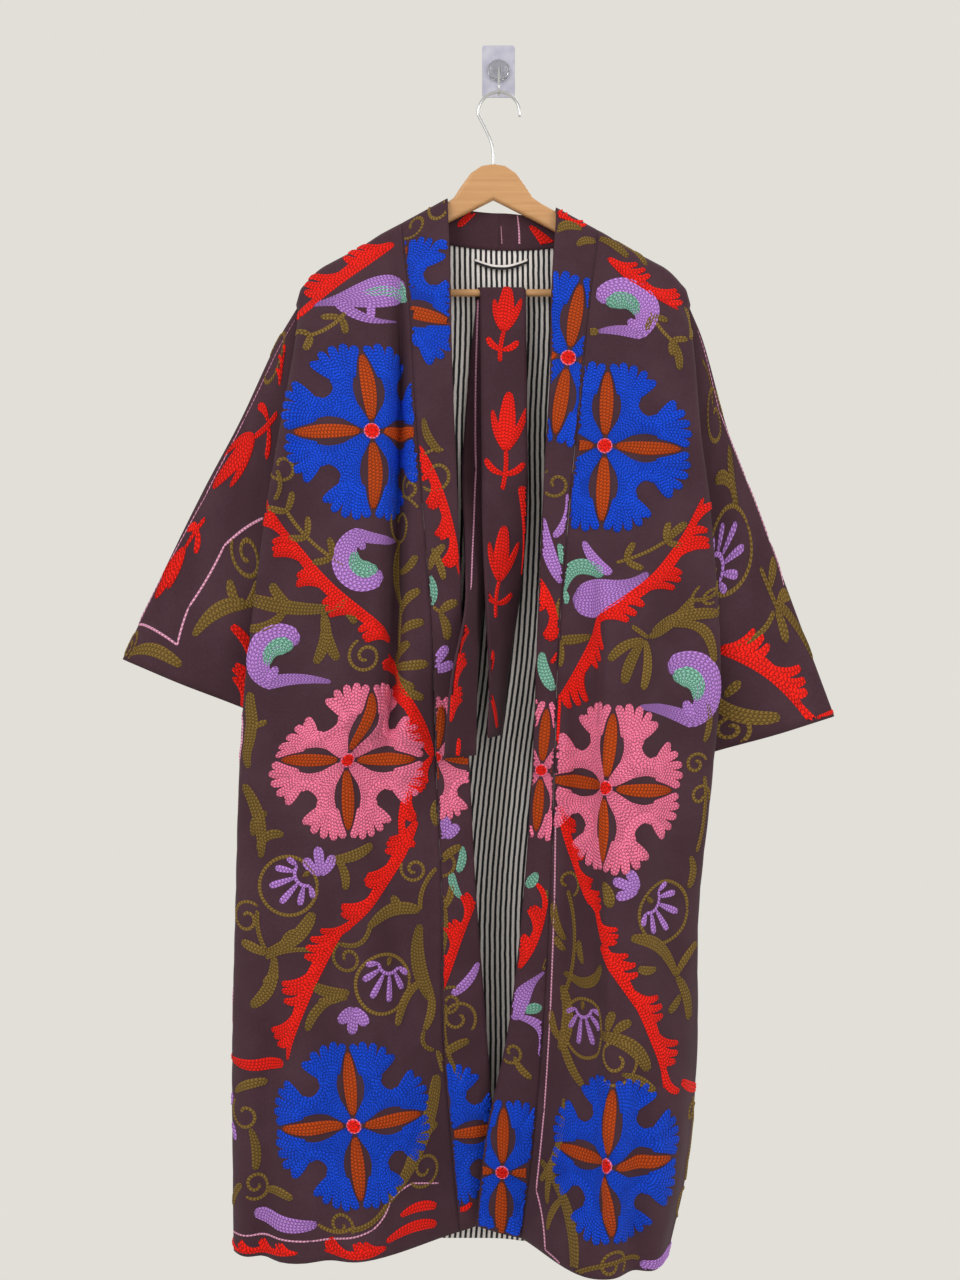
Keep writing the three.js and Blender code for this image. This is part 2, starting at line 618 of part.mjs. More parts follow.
function boss() {
  const profile = [
    [0, 0],
    [bossR, 0],
    [bossR, bossThick * 0.5],
    [bossR * 0.72, bossThick],
    [0, bossThick],
  ].map(([x, y]) => new THREE.Vector2(x, y));
  const round = new THREE.LatheGeometry(profile, 24).rotateX(Math.PI).translate(0, -plateThick - seamGap, 0);
  const solid = toSolid(round);
  const hole = new THREE.CylinderGeometry(1.6 + seamGap, 1.6 + seamGap, 8, 10);
  hole.translate(0, -plateThick - bossThick, 0);
  return new THREE.Mesh(fromSolid(solid.subtract(toSolid(hole))), film);
}
function wallHook() {
  const stemY = -plateThick - bossThick + 2.6;
  const seat = hookTopZ - hookWire - 0.35 - 1.5; // the wire lies under the hanger's hook
  const points = [
    [0, stemY, 0],
    [0, stemY - 5, 0],
    [0, stemY - 13, -4],
    [0, hangY + 10, seat + 12],
    [0, hangY + 6, seat + 3],
    [0, hangY, seat],
    [0, hangY - 6, seat + 3.5],
    [0, hangY - 8, seat + 11],
  ];
  return new THREE.Mesh(wire(points, 3, 34, 8), chrome);
}

// The hanging loop: a narrow striped strap, sagging between two ends under the neckband
function hangLoop() {
  const half = 33;
  const grid = steps(12).map((t) => {
    const x = 3 - half + 2 * half * t;
    const sag = Math.sin(Math.PI * t);
    return steps(1).map((a) => new THREE.Vector3(x, -26.1 - 4 * sag, -246 - 9 * sag - 5.5 * a));
  });
  return new THREE.Mesh(wall(grid, 1.4), stripe);
}

// The sash, folded over the hanger's bar: its middle line, its width's turn away from the X axis, and its width
const sashColumns = ["t", "x", "y", "z", "turn"];
const sashWidth = 57;
const overBar = barRadius + 0.35 + sashThick / 2;
const frontTail = [
  [0, -5, -70, -842, 72],
  [0.2, 0, -68, -760, 64],
  [0.4, 5, -62, -650, 36],
  [0.6, 7, -58, -540, 6],
  [0.8, 6, -52, -420, 0],
  [1, 5, hangY - overBar, -300, 0],
];
const backTail = [
  [0, 0, hangY + overBar, -300, 0],
  [0.2, -10, -28, -400, 2],
  [0.4, -17, -31, -500, 6],
  [0.6, -20, -50, -600, 36],
  [0.72, -29, -78, -680, 66],
  [0.86, -42, -116, -770, 58],
  [1, -47, -128, -862, 50],
];
function sash() {
  const line = (rows, n) => {
    const read = table(sashColumns, rows);
    return steps(n).map((t) => read(t));
  };
  const overTop = steps(8, (t) => Math.PI * t).map((angle) => ({
    x: 5 - (5 * angle) / Math.PI,
    y: hangY - overBar * Math.cos(angle),
    z: barZ + overBar * Math.sin(angle),
    turn: 0,
  }));
  const path = [...line(frontTail, 16), ...overTop, ...line(backTail, 18)];
  const grid = path.map((p) => {
    const turn = THREE.MathUtils.degToRad(p.turn);
    const wide = new THREE.Vector3(Math.cos(turn), Math.sin(turn), 0);
    const middle = new THREE.Vector3(p.x, p.y, p.z);
    return [-0.5, -0.17, 0.17, 0.5].map((a) => middle.clone().addScaledVector(wide, a * sashWidth));
  });
  return new THREE.Mesh(wall(grid, sashThick, { flip: true }), cloth);
}

const robe = new THREE.Group();
function add(name, mesh) {
  mesh.name = name;
  robe.add(mesh);
}
add("wall_plate", roundedPlate());
add("wall_boss", boss());
add("wall_hook", wallHook());
add("hanger_hook", hangerHook());
add("hanger_wood", hangerWood());
add("hanger_bar", hangerBar());
add("back_panel", backPanel());
add("back_lining", backLining());
for (const name of ["right", "left"]) {
  add(name + "_front", frontPanel(name));
  add(name + "_neckband", neckband(name));
  add(name + "_sleeve", sleeve(name));
}
add("hang_loop", hangLoop());
add("sash", sash());

export default robe;
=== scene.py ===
import json
import math

import bpy
import numpy as np
from bpy.props import FloatProperty, FloatVectorProperty, IntProperty, PointerProperty
from bpy.types import Operator, Panel, PropertyGroup
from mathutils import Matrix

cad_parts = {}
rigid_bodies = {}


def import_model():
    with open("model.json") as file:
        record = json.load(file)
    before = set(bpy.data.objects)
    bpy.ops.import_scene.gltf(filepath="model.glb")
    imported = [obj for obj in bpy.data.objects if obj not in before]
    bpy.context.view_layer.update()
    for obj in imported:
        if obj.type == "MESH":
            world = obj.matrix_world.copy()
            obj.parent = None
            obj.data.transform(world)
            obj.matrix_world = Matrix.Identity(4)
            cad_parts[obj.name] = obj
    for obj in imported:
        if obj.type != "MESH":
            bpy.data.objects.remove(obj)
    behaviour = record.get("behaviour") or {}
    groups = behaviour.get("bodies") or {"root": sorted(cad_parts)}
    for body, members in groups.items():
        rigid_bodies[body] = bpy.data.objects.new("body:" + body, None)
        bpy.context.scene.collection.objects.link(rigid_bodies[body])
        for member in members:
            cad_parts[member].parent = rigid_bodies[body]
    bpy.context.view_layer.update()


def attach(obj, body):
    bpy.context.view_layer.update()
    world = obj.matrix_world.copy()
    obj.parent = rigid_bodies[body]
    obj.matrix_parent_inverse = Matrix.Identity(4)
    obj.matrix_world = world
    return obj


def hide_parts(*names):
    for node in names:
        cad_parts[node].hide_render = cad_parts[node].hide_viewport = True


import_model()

bl_info = {
    "name": "Embroidered kimono robe",
    "version": (1, 0, 0),
    "blender": (4, 5, 0),
    "location": "3D View > Sidebar > Robe",
    "description": "Builds a chain-stitch embroidered robe on its hanger, piece by piece",
    "category": "Object",
}

# ------------------------------------------------------------------------------------------------------------
# Surfaces. Every cloth piece is a grid of points on its middle surface, in millimetres, in the frame's axes.

HANG_X, HANG_Y = -7.0, -36.0  # the hanger's centre line and its plane in front of the wall
CLOTH = 2.0  # thickness of the embroidered cotton with its lining
SEAM = 0.3
FRONT_HEM, BACK_HEM = -1455.0, -1478.0
UNDERARM = 0.256  # share of the side's length at which the armhole ends
WRAP = 9.0  # radius of the cloth's turn over the hanger
NECK_R, NECK_Z, SLOPE, ARM_END = 57.0, -177.5, 0.545, 205.0
NECK_TURN, BAND_TURN, BAND_TOP = 0.1, 0.28, -188.5
SEAM_SIDE = (CLOTH + SEAM) / 2
# the viewpoint in front, and the plane on which motifs are placed
VIEW, PLANE_Y = (-23.6, -1700.0, -724.2), -100.0

# One section of each front from the shoulder (v = 0) to the hem (v = 1): the neckband's free edge, its seam,
# the panel's middle, the outer fold and the side seam
FRONT_COLUMNS = ("v", "in_x", "in_y", "seam_x", "seam_y", "mid_y", "edge_x", "edge_y", "tuck_x", "tuck_y")
FRONT_ROWS = {
    "right": [
        (0, -64, -47, -121, -47, -47, -245, -47, -252, -36),
        (0.018, -63, -51, -119, -50, -52, -248, -48, -247, -38),
        (0.08, -60, -68, -111, -66, -76, -251, -62, -226, -43),
        (0.18, -57, -80, -103, -80, -93, -267, -84, -205, -55),
        (0.256, -53, -86, -96, -86, -99, -280, -91, -198, -60),
        (0.414, -45, -92, -81, -94, -109, -303, -96, -199, -62),
        (0.528, -38, -90, -77, -94, -115, -312, -96, -206, -60),
        (0.66, -30, -82, -70, -90, -120, -317, -94, -228, -57),
        (0.8, -17, -64, -69, -76, -124, -321, -93, -256, -54),
        (0.91, -7, -49, -59, -60, -130, -320, -96, -276, -53),
        (1, -3, -43, -49, -52, -136, -318, -100, -282, -53),
    ],
    "left": [
        (0, 71, -47, 123, -47, -47, 231, -47, 238, -36),
        (0.018, 70, -51, 121, -50, -52, 234, -48, 233, -38),
        (0.08, 64, -68, 110, -67, -78, 238, -62, 212, -43),
        (0.18, 61, -80, 97, -84, -97, 243, -84, 180, -55),
        (0.256, 55, -87, 87, -91, -105, 253, -91, 168, -60),
        (0.414, 46, -92, 71, -96, -117, 264, -98, 162, -62),
        (0.528, 41, -92, 66, -98, -125, 254, -98, 163, -60),
        (0.66, 31, -86, 61, -96, -135, 238, -98, 170, -57),
        (0.8, 12, -78, 52, -88, -150, 235, -105, 186, -55),
        (0.91, -16, -72, 41, -76, -164, 222, -112, 190, -55),
        (1, -28, -68, 27, -70, -174, 198, -118, 172, -55),
    ],
}
BACK_COLUMNS = ("v", "right_x", "right_y", "mid_y", "left_x", "left_y")
BACK_ROWS = [
    (0, -245, -24, -24, 231, -24),
    (0.018, -247, -24, -24, 233, -24),
    (0.08, -249, -22, -21, 236, -22),
    (0.18, -265, -20, -17, 241, -20),
    (0.28, -283, -20, -15, 256, -20),
    (0.414, -303, -21, -14, 263, -21),
    (0.528, -314, -21, -14, 253, -21),
    (0.66, -321, -21, -15, 238, -21),
    (0.8, -325, -21, -15, 235, -21),
    (0.91, -324, -21, -16, 222, -21),
    (1, -322, -21, -17, 199, -21),
]
# A trough sinks a line of the cloth. A step lifts it on the line's outer side.
FOLD_COLUMNS = ("kind", "top_x", "top_z", "end_x", "end_z", "width", "depth")
FRONT_FOLDS = {
    "right": [
        ("trough", -113, -225, -133, -880, 10, 32),
        ("trough", -165, -820, -95, -1230, 24, 13),
        ("trough", -236, -380, -262, -1010, 22, 8),
        ("trough", -188, -980, -205, -1600, 22, 12),
        ("trough", -268, -1120, -286, -1600, 16, 14),
    ],
    "left": [
        ("step", 118, -620, 118, -1420, 3.5, 24),
        ("trough", 150, -250, 190, -640, 22, 9),
        ("trough", 205, -560, 196, -1180, 20, 9),
        ("trough", 160, -1180, 150, -1600, 16, 16),
        ("trough", 92, -760, 84, -1250, 12, 9),
    ],
}
BACK_FOLDS = [
    ("trough", -205, -330, -232, -1600, 26, -10),
    ("trough", -130, -560, -128, -1600, 24, -9),
    ("trough", -58, -300, -40, -1250, 26, -7),
    ("trough", 24, -700, 46, -1600, 28, -10),
    ("trough", 108, -420, 122, -1600, 24, -9),
    ("trough", 176, -330, 172, -1300, 24, -8),
]
STEP_RUN = 120.0
SLEEVE_COLUMNS = ("k", "x", "y", "z")
SLEEVE_EDGES = {
    "right": {
        "outer": [(0, -252, -36, -306), (0.1, -276, -43, -352), (0.3, -319, -51, -451),
                  (0.5, -363, -56, -538),
                  (0.75, -412, -59, -640), (1, -462, -61, -748)],
        "inner": [(0, -199, -59, -588), (0.12, -217, -60, -612), (0.35, -222, -61, -684),
                  (0.7, -236, -61, -764),
                  (1, -246, -61, -834)],
    },
    "left": {
        "outer": [(0, 238, -36, -306), (0.1, 254, -43, -352), (0.3, 284, -51, -470), (0.5, 318, -56, -563),
                  (0.75, 364, -59, -690), (1, 411, -61, -818)],
        "inner": [(0, 168, -59, -590), (0.12, 187, -60, -615), (0.35, 190, -61, -702), (0.7, 188, -61, -800),
                  (1, 188, -61, -882)],
    },
}
ARM_OPEN, CUFF_HALF = 10.0, 15.0  # half the sleeve's depth, front to back, at the armhole and at the cuff
SIDE = {"right": -1, "left": 1}


def smooth(a, b, x):
    """0 before a, 1 after b, and 3t^2 - 2t^3 between them."""
    t = np.clip((np.asarray(x, float) - a) / (b - a), 0, 1)
    return t * t * (3 - 2 * t)


def table(columns, rows):
    """A function that reads the table at any value of its first column: a cubic through the rows, whose slope at
    each row is that of the line between its neighbours."""
    data = np.array([[float(x) for x in row] for row in rows])
    key = data[:, 0]
    ahead = np.minimum(np.arange(len(key)) + 1, len(key) - 1)
    before = np.maximum(np.arange(len(key)) - 1, 0)
    slope = (data[ahead] - data[before]) / (key[ahead] - key[before])[:, None]

    def read(at):
        at = np.clip(np.asarray(at, float), key[0], key[-1])
        i = np.clip(np.searchsorted(key, at, side="right") - 1, 0, len(key) - 2)
        h = (key[i + 1] - key[i])[..., None]
        s = ((at - key[i]) / h[..., 0])[..., None]
        found = (data[i] * (1 + 2 * s) * (1 - s) ** 2 + slope[i] * h * s * (1 - s) ** 2
                 + data[i + 1] * s * s * (3 - 2 * s) - slope[i + 1] * h * s * s * (1 - s))
        return {name: found[..., c] for c, name in enumerate(columns)}

    return read


SECTION = {name: table(FRONT_COLUMNS, rows) for name, rows in FRONT_ROWS.items()}
BACK_SECTION = table(BACK_COLUMNS, BACK_ROWS)
TOP = {name: SECTION[name](0.0) for name in SIDE}
NECK_MID = float(TOP["left"]["seam_x"] + TOP["right"]["seam_x"]) / 2
NECK_HALF = float(TOP["left"]["seam_x"] - TOP["right"]["seam_x"]) / 2


def fold_depth(folds, x, z, side):
    """How far the folds sink the cloth. A trough is a bell curve across its line, exp(-(x/width)^2)."""
    total = np.zeros(np.broadcast(x, z).shape)
    for row in folds:
        f = dict(zip(FOLD_COLUMNS, row))
        along = (z - f["top_z"]) / (f["end_z"] - f["top_z"])
        centre = f["top_x"] + (f["end_x"] - f["top_x"]) * along
        shown = smooth(-f["top_z"] - 10, -f["top_z"] + 90, -z) * smooth(f["end_z"] - 10, f["end_z"] + 90, z)
        beyond = (x - centre) * side
        lifted = smooth(-f["width"], f["width"], beyond) * (1 - smooth(0.2 * STEP_RUN, STEP_RUN, beyond))
        bell = np.exp(-((x - centre) / f["width"]) ** 2)
        total = total + f["depth"] * shown * (-lifted if f["kind"] == "step" else bell)
    return total


def ridge_z(x):
    """Height of the shoulder's ridge: straight down from the neck, then drooping past the hanger's end."""
    r = np.abs(x - HANG_X)
    past = np.maximum(r - ARM_END, 0)
    return NECK_Z + 3.0 * (1 - smooth(135, 165, r)) - SLOPE * (r - NECK_R) - 0.0165 * past * past


def neck_share(x):
    return np.clip((1 - np.abs(x - NECK_MID) / NECK_HALF) / NECK_TURN, 0, 1)


def back_top(x):
    """The back panel's upper edge: the ridge, and between the neckband's seams a shallow scoop."""
    t = (x - NECK_MID) / NECK_HALF
    chord = (ridge_z(float(TOP["right"]["seam_x"])) * (1 - t) + ridge_z(float(TOP["left"]["seam_x"]))
             * (1 + t)) / 2
    scoop = chord - WRAP * neck_share(x) - 15.0 * np.cos(np.clip(t, -1, 1) * np.pi / 2)
    return np.where(np.abs(t) >= 1, ridge_z(x), scoop)


def over_ridge(drop):
    """Share of the full depth that the cloth has reached, as a quarter circle, when it is this far below the ridge."""
    return np.sqrt(1 - (1 - np.clip(drop / WRAP, 0, 1)) ** 2)


def turn_over(drop, side):
    return np.where(drop > 0, over_ridge(drop + 4 * side), 0)


def arm_open(v):
    return np.where(v < UNDERARM, ARM_OPEN
                    * np.sqrt(np.abs(np.sin(np.pi * np.minimum(v, UNDERARM) / UNDERARM))), 0)


def plan_path(stations, steps):
    """A centripetal Catmull-Rom curve through each row's stations (rows, stations, 2), at even steps."""
    first = 2 * stations[:, :1] - stations[:, 1:2]
    last = 2 * stations[:, -1:] - stations[:, -2:-1]
    p = np.concatenate([first, stations, last], axis=1)
    spans = stations.shape[1] - 1
    at = np.linspace(0, spans, steps + 1)
    i = np.minimum(at.astype(int), spans - 1)
    w = (at - i)[None, :, None]
    p0, p1, p2, p3 = (p[:, i + k] for k in range(4))
    gap = lambda a, b: np.maximum(np.sum((a - b) ** 2, axis=-1, keepdims=True), 1e-12) ** 0.25
    d0, d1, d2 = gap(p0, p1), gap(p1, p2), gap(p2, p3)
    d0 = np.where(d0 < 1e-2, d1, d0)
    m1 = ((p1 - p0) / d0 - (p2 - p0) / (d0 + d1) + (p2 - p1) / d1) * d1
    m2 = ((p2 - p1) / d1 - (p3 - p1) / (d1 + d2) + (p3 - p2) / d2) * d1
    return p1 + m1 * w + (-3 * p1 + 3 * p2 - 2 * m1 - m2) * w**2 + (2 * p1 - 2 * p2 + m1 + m2) * w**3


def along_path(path, u):
    """The path's rows at even shares u of their own length."""
    step = np.linalg.norm(np.diff(path, axis=1), axis=2)
    run = np.concatenate([np.zeros((len(path), 1)), np.cumsum(step, axis=1)], axis=1)
    rows = [[np.interp(u * r[-1], r, p[:, c]) for c in (0, 1)] for r, p in zip(run, path)]
    return np.array(rows).transpose(0, 2, 1)


def columns(v, *pairs):
    """Stations as one array (rows, stations, 2), from x and y pairs that may be numbers or arrays."""
    return np.stack([np.stack(np.broadcast_arrays(x, y, v)[:2], axis=-1) for x, y in pairs], axis=1)


def front_grid(name, v, u):
    """A front panel: across from the neckband's seam round the outer fold to the side seam, and down."""
    s, top, side = SECTION[name](v), TOP[name], SIDE[name]
    lift = smooth(0, 0.08, v)
    tuck_y = s["tuck_y"] - arm_open(v) - SEAM_SIDE
    stations = columns(
        v,
        (s["seam_x"], s["seam_y"]),
        (s["seam_x"] * 0.55 + s["edge_x"] * 0.45, s["mid_y"]),
        (s["edge_x"] - side * 24, s["mid_y"] * 0.72 + s["edge_y"] * 0.28),
        (s["edge_x"] - side * 4, s["edge_y"] - 9 * lift),
        (s["edge_x"], s["edge_y"]),
        ((s["edge_x"] + s["tuck_x"]) / 2, (s["edge_y"] + tuck_y) / 2 - 3 * smooth(0.05, 0.2, v)),
        (s["tuck_x"], tuck_y),
    )
    path = plan_path(stations, 80)
    share = np.linspace(0, 1, 81)[None, :]
    top_of = lambda t: ridge_z(top["seam_x"] + (top["tuck_x"] - top["seam_x"]) * t)
    z = top_of(share) + (FRONT_HEM - top_of(share)) * v[:, None]
    held = smooth(0, 0.05, share) * (1 - smooth(0.72, 0.86, share))
    path[..., 1] += fold_depth(FRONT_FOLDS[name], path[..., 0], z, side) * held
    flat = along_path(path, u)
    z0 = top_of(u)[None, :]
    z = z0 + (FRONT_HEM - z0) * v[:, None]
    y = HANG_Y + (flat[..., 1] - HANG_Y) * turn_over(z0 - z, smooth(0.85, 1, u)[None, :])
    y[0] -= SEAM / 2
    return np.stack([flat[..., 0], y, z], axis=-1)


def back_grid(v, u):
    """The back panel: across from the right side seam, round both outer folds, to the left side seam."""
    s, r, l = BACK_SECTION(v), SECTION["right"](v), SECTION["left"](v)
    opened, lift = arm_open(v) + SEAM_SIDE, smooth(0, 0.1, v)
    stations = columns(
        v,
        (r["tuck_x"], r["tuck_y"] + opened),
        (s["right_x"], s["right_y"] - 5 * lift),
        (s["right_x"] + 4, s["right_y"] + 2 * lift),
        (s["right_x"] + 26, s["mid_y"] * 0.75 + s["right_y"] * 0.25),
        (s["right_x"] * 0.5, s["mid_y"]),
        (0 * v, s["mid_y"]),
        (s["left_x"] * 0.5, s["mid_y"]),
        (s["left_x"] - 26, s["mid_y"] * 0.75 + s["left_y"] * 0.25),
        (s["left_x"] - 4, s["left_y"] + 2 * lift),
        (s["left_x"], s["left_y"] - 5 * lift),
        (l["tuck_x"], l["tuck_y"] + opened),
    )
    flat = along_path(plan_path(stations, 160), u)
    x0 = (TOP["right"]["tuck_x"] + (TOP["left"]["tuck_x"] - TOP["right"]["tuck_x"]) * u)[None, :]
    z0 = back_top(x0)
    z = z0 + (BACK_HEM - z0) * v[:, None]
    inside = (smooth(0.12, 0.2, u) * smooth(0.12, 0.2, 1 - u))[None, :]
    y = flat[..., 1] + fold_depth(BACK_FOLDS, flat[..., 0], z, 1) * inside
    side = (1 - smooth(0, 0.15, u) + smooth(0.85, 1, u))[None, :]
    y = HANG_Y + (y - HANG_Y) * turn_over(z0 - z + WRAP * neck_share(x0), side)
    y[0] += SEAM / 2
    x = flat[..., 0] + (x0 - flat[..., 0]) * (1 - smooth(0, 0.03, v))[:, None]
    return np.stack([x, y, z], axis=-1)


def band_grid(name, v, a, k):
    """The neckband, from the centre back (k = 1) over the shoulder (k = 0, v = 0) down the front's edge."""
    s, top, a = SECTION[name](v), TOP[name], a[None, :]
    z0 = ridge_z(top["in_x"] + (top["seam_x"] - top["in_x"]) * a)
    z = z0 + (FRONT_HEM + 14 * (1 - a) - z0) * v[:, None]
    bulge = 3 * np.sin(np.pi * a) * smooth(0, 0.08, v)[:, None]
    across = lambda one, two: s[one][:, None] + (s[two] - s[one])[:, None] * a
    y = HANG_Y + (across("in_y", "seam_y") - bulge - HANG_Y) * over_ridge(z0 - z)
    front = np.stack([across("in_x", "seam_x"), y, z], axis=-1)
    k = k[:, None]
    over = np.minimum(k / BAND_TURN, 1)
    along = np.maximum((k - BAND_TURN) / (1 - BAND_TURN), 0)
    seam_x = top["seam_x"] + (NECK_MID - top["seam_x"]) * (NECK_TURN * over + (1 - NECK_TURN) * along)
    in_x = top["in_x"] + (NECK_MID - top["in_x"]) * along
    seam_z = back_top(seam_x) + SEAM + 0.4
    side = ridge_z(top["in_x"]) - WRAP * over
    in_z = side + (BAND_TOP - side) * smooth(0, 1, along)
    y = HANG_Y + (11 - a) * over_ridge(WRAP * over)
    back = np.stack([in_x + (seam_x - in_x) * a, y, in_z + (seam_z - in_z) * a], axis=-1)
    return np.concatenate([back, front])


SLEEVE = {n: {e: table(SLEEVE_COLUMNS, rows) for e, rows in edges.items()} for n, edges
          in SLEEVE_EDGES.items()}


def sleeve_grid(name, k, phi):
    """A sleeve: down from the armhole (k = 0) to the cuff, and round it from the top fold over the front. Its
    section is a lens between the top fold and the underarm fold, shaped to the armhole at its root."""
    section, side = SECTION[name], SIDE[name]

    def lens(at):
        o, i = SLEEVE[name]["outer"](at), SLEEVE[name]["inner"](at)
        t, at = (1 - np.cos(phi))[None, :] / 2, at[:, None]
        half = ARM_OPEN + (CUFF_HALF - ARM_OPEN) * smooth(0, 0.9, at) ** 0.8
        sag = 5 * np.sin(3 * np.pi * t + 5 * at) * smooth(0.15, 0.5, at) * np.abs(np.sin(phi))
        pinch = 1 - 0.62 * smooth(0.65, 1, t) * (1 - smooth(0.15, 0.5, at))
        mix = lambda c: o[c][:, None] + (i[c] - o[c])[:, None] * t
        return np.stack([mix("x"), mix("y") - (half + sag) * pinch * np.sin(phi), mix("z")], axis=-1)

    v = UNDERARM * (0.47 - 0.455 * np.cos(phi))
    s = section(v)
    z0 = ridge_z(TOP[name]["tuck_x"])
    mid = HANG_Y + (s["tuck_y"] - HANG_Y) * over_ridge((z0 - FRONT_HEM) * v)
    half = np.maximum(arm_open(v) - SEAM_SIDE, 0.6 * CLOTH) * (np.abs(np.sin(phi)) > 1e-6)
    root = np.stack([s["tuck_x"] + side * SEAM, mid - np.sign(np.sin(phi)) * half, z0 + (FRONT_HEM - z0) * v],
                    -1)
    return lens(k) + (root[None] - lens(np.zeros(1))) * ((1 - k) ** 3)[:, None, None]


# ------------------------------------------------------------------------------------------------------------
# Cloths: a grid with its normals and its flat measures, on which embroidery and stripes are laid out in millimetres.

class Cloth:
    """A cloth surface that can be read at flat places. Its flat plane is complex: x to the right and y up as the
    piece is seen from outside. x runs from the origin column, or by a lead past the first, and y is minus the distance
    down the middle column. Where level is 1, x leaves out the height between a row's points and y takes it in."""

    def __init__(self, points, flip, sign, v, ring=False, level=0.0, origin=0, lead=None):
        self.points, self.sign, self.ring, self.flip, self.v, self.half = points, sign, ring, flip, v, CLOTH / 2
        closed = np.concatenate([points[:, -2:-1], points, points[:, 1:2]], axis=1) if ring else points
        across = np.gradient(closed, axis=1)
        across = across[:, 1:-1] if ring else across
        normal = np.cross(across, np.gradient(points, axis=0))
        normal /= np.maximum(np.linalg.norm(normal, axis=-1, keepdims=True), 1e-9)
        self.normal = -normal if flip else normal
        level = np.broadcast_to(level, len(points))[:, None]
        step = np.diff(points, axis=1)
        step[..., 2] *= np.sqrt(1 - level)
        run = np.concatenate([np.zeros((len(points), 1)), np.cumsum(np.linalg.norm(step, axis=2), axis=1)],
                             axis=1)
        self.zero = run[:, origin] if lead is None else -lead
        self.across = run - self.zero[:, None]
        middle = points[:, points.shape[1] // 2 if origin else points.shape[1] // 3]
        self.fall = np.concatenate([[0], np.cumsum(np.linalg.norm(np.diff(middle, axis=0), axis=1))])
        self.tilt = (middle[:, None, 2] - points[..., 2]) * level
        self.down = self.fall[:, None] + self.tilt

    def cell(self, i, j):
        """The grid's cell round a place in index space, and the shares of its far corners."""
        n, m = self.points.shape[:2]
        i0, j0 = np.clip(i.astype(int), 0, n - 2), np.clip(j.astype(int), 0, m - 2)
        wi, wj = i - i0, j - j0
        return lambda g: ((g[i0, j0].T * (1 - wj).T + g[i0, j0 + 1].T * wj.T) * (1 - wi).T
                          + (g[i0 + 1, j0].T * (1 - wj).T + g[i0 + 1, j0 + 1].T * wj.T) * wi.T).T

    def locate(self, flat):
        """Row and column, in index space, of flat places, with their distances across and down: found in four
        rounds, because the tilt of a row depends on the column."""
        n, m = self.points.shape[:2]
        rows, total = np.arange(n), self.across[:, -1] + self.zero
        i, j = np.interp(-flat.imag, self.fall, rows), np.full(flat.shape, m / 2)
        for _ in range(4):
            drop = -flat.imag - self.cell(i, j)(self.tilt)
            i = np.interp(drop, self.fall, rows)
            run, width = self.sign * flat.real + np.interp(i, rows, self.zero), np.interp(i, rows, total)
            j = (run / width % 1 if self.ring else np.clip(run / width, 0, 1)) * (m - 1)
        return i, j, run, drop, width

    def read(self, flat, lift):
        """Points at flat places, moved out along the normals by lift: bilinear between the grid's points."""
        i, j = self.locate(flat)[:2]
        mix = self.cell(i, j)
        return mix(self.points) + mix(self.normal) * lift[..., None]

    def inside(self, flat, edge):
        """Whether flat places lie on the cloth, and not within a margin of its edges."""
        _, _, run, drop, width = self.locate(flat)
        within = (drop > edge) & (drop < self.fall[-1] - edge)
        return within if self.ring else within & (run > edge) & (run < width - edge)

    def find(self, x, z, facing=-1):
        """The flat place seen at (x, z) of the plane y = PLANE_Y from the viewpoint, where the cloth's outside faces the
        viewer (facing = -1) or the wall (1): from the nearest grid point, on along the cloth by least squares."""
        near = (VIEW[1] - PLANE_Y) / (VIEW[1] - self.points[..., 1])
        seen = VIEW[0] + (self.points[..., 0]
                          - VIEW[0]) * near + 1j * (VIEW[2] + (self.points[..., 2] - VIEW[2]) * near)
        flat = self.sign * self.across - 1j * self.down
        hidden = self.normal[..., 1] * facing < 0.15
        i, j = np.unravel_index(np.argmin(abs(seen - x - 1j * z) + np.where(hidden, 1e4, 0)), hidden.shape)
        n, m = hidden.shape
        ways = []
        for a, b in (((i, max(j - 1, 0)), (i, min(j + 1, m - 1))),
                     ((max(i - 1, 0), j), (min(i + 1, n - 1), j))):
            length = np.linalg.norm(self.points[b] - self.points[a])
            ways.append(((seen[b] - seen[a]) / length, (flat[b] - flat[a]) / length))
        rest = x + 1j * z - seen[i, j]
        slopes = np.array([[way.real, way.imag] for way, _ in ways]).T
        move = np.clip(np.linalg.lstsq(slopes, np.array([rest.real, rest.imag]), rcond=0.15)[0], -40, 40)
        return flat[i, j] + move[0] * ways[0][1] + move[1] * ways[1][1]


def grid_faces(n, m, ring=False):
    """Quads of a grid of n rows and m columns, closed round in the second direction if it is a ring."""
    i, j = np.meshgrid(np.arange(n - 1), np.arange(m if ring else m - 1), indexing="ij")
    k = (j + 1) % m
    return np.stack([i * m + j, i * m + k, (i + 1) * m + k, (i + 1) * m + j], axis=-1).reshape(-1, 4)


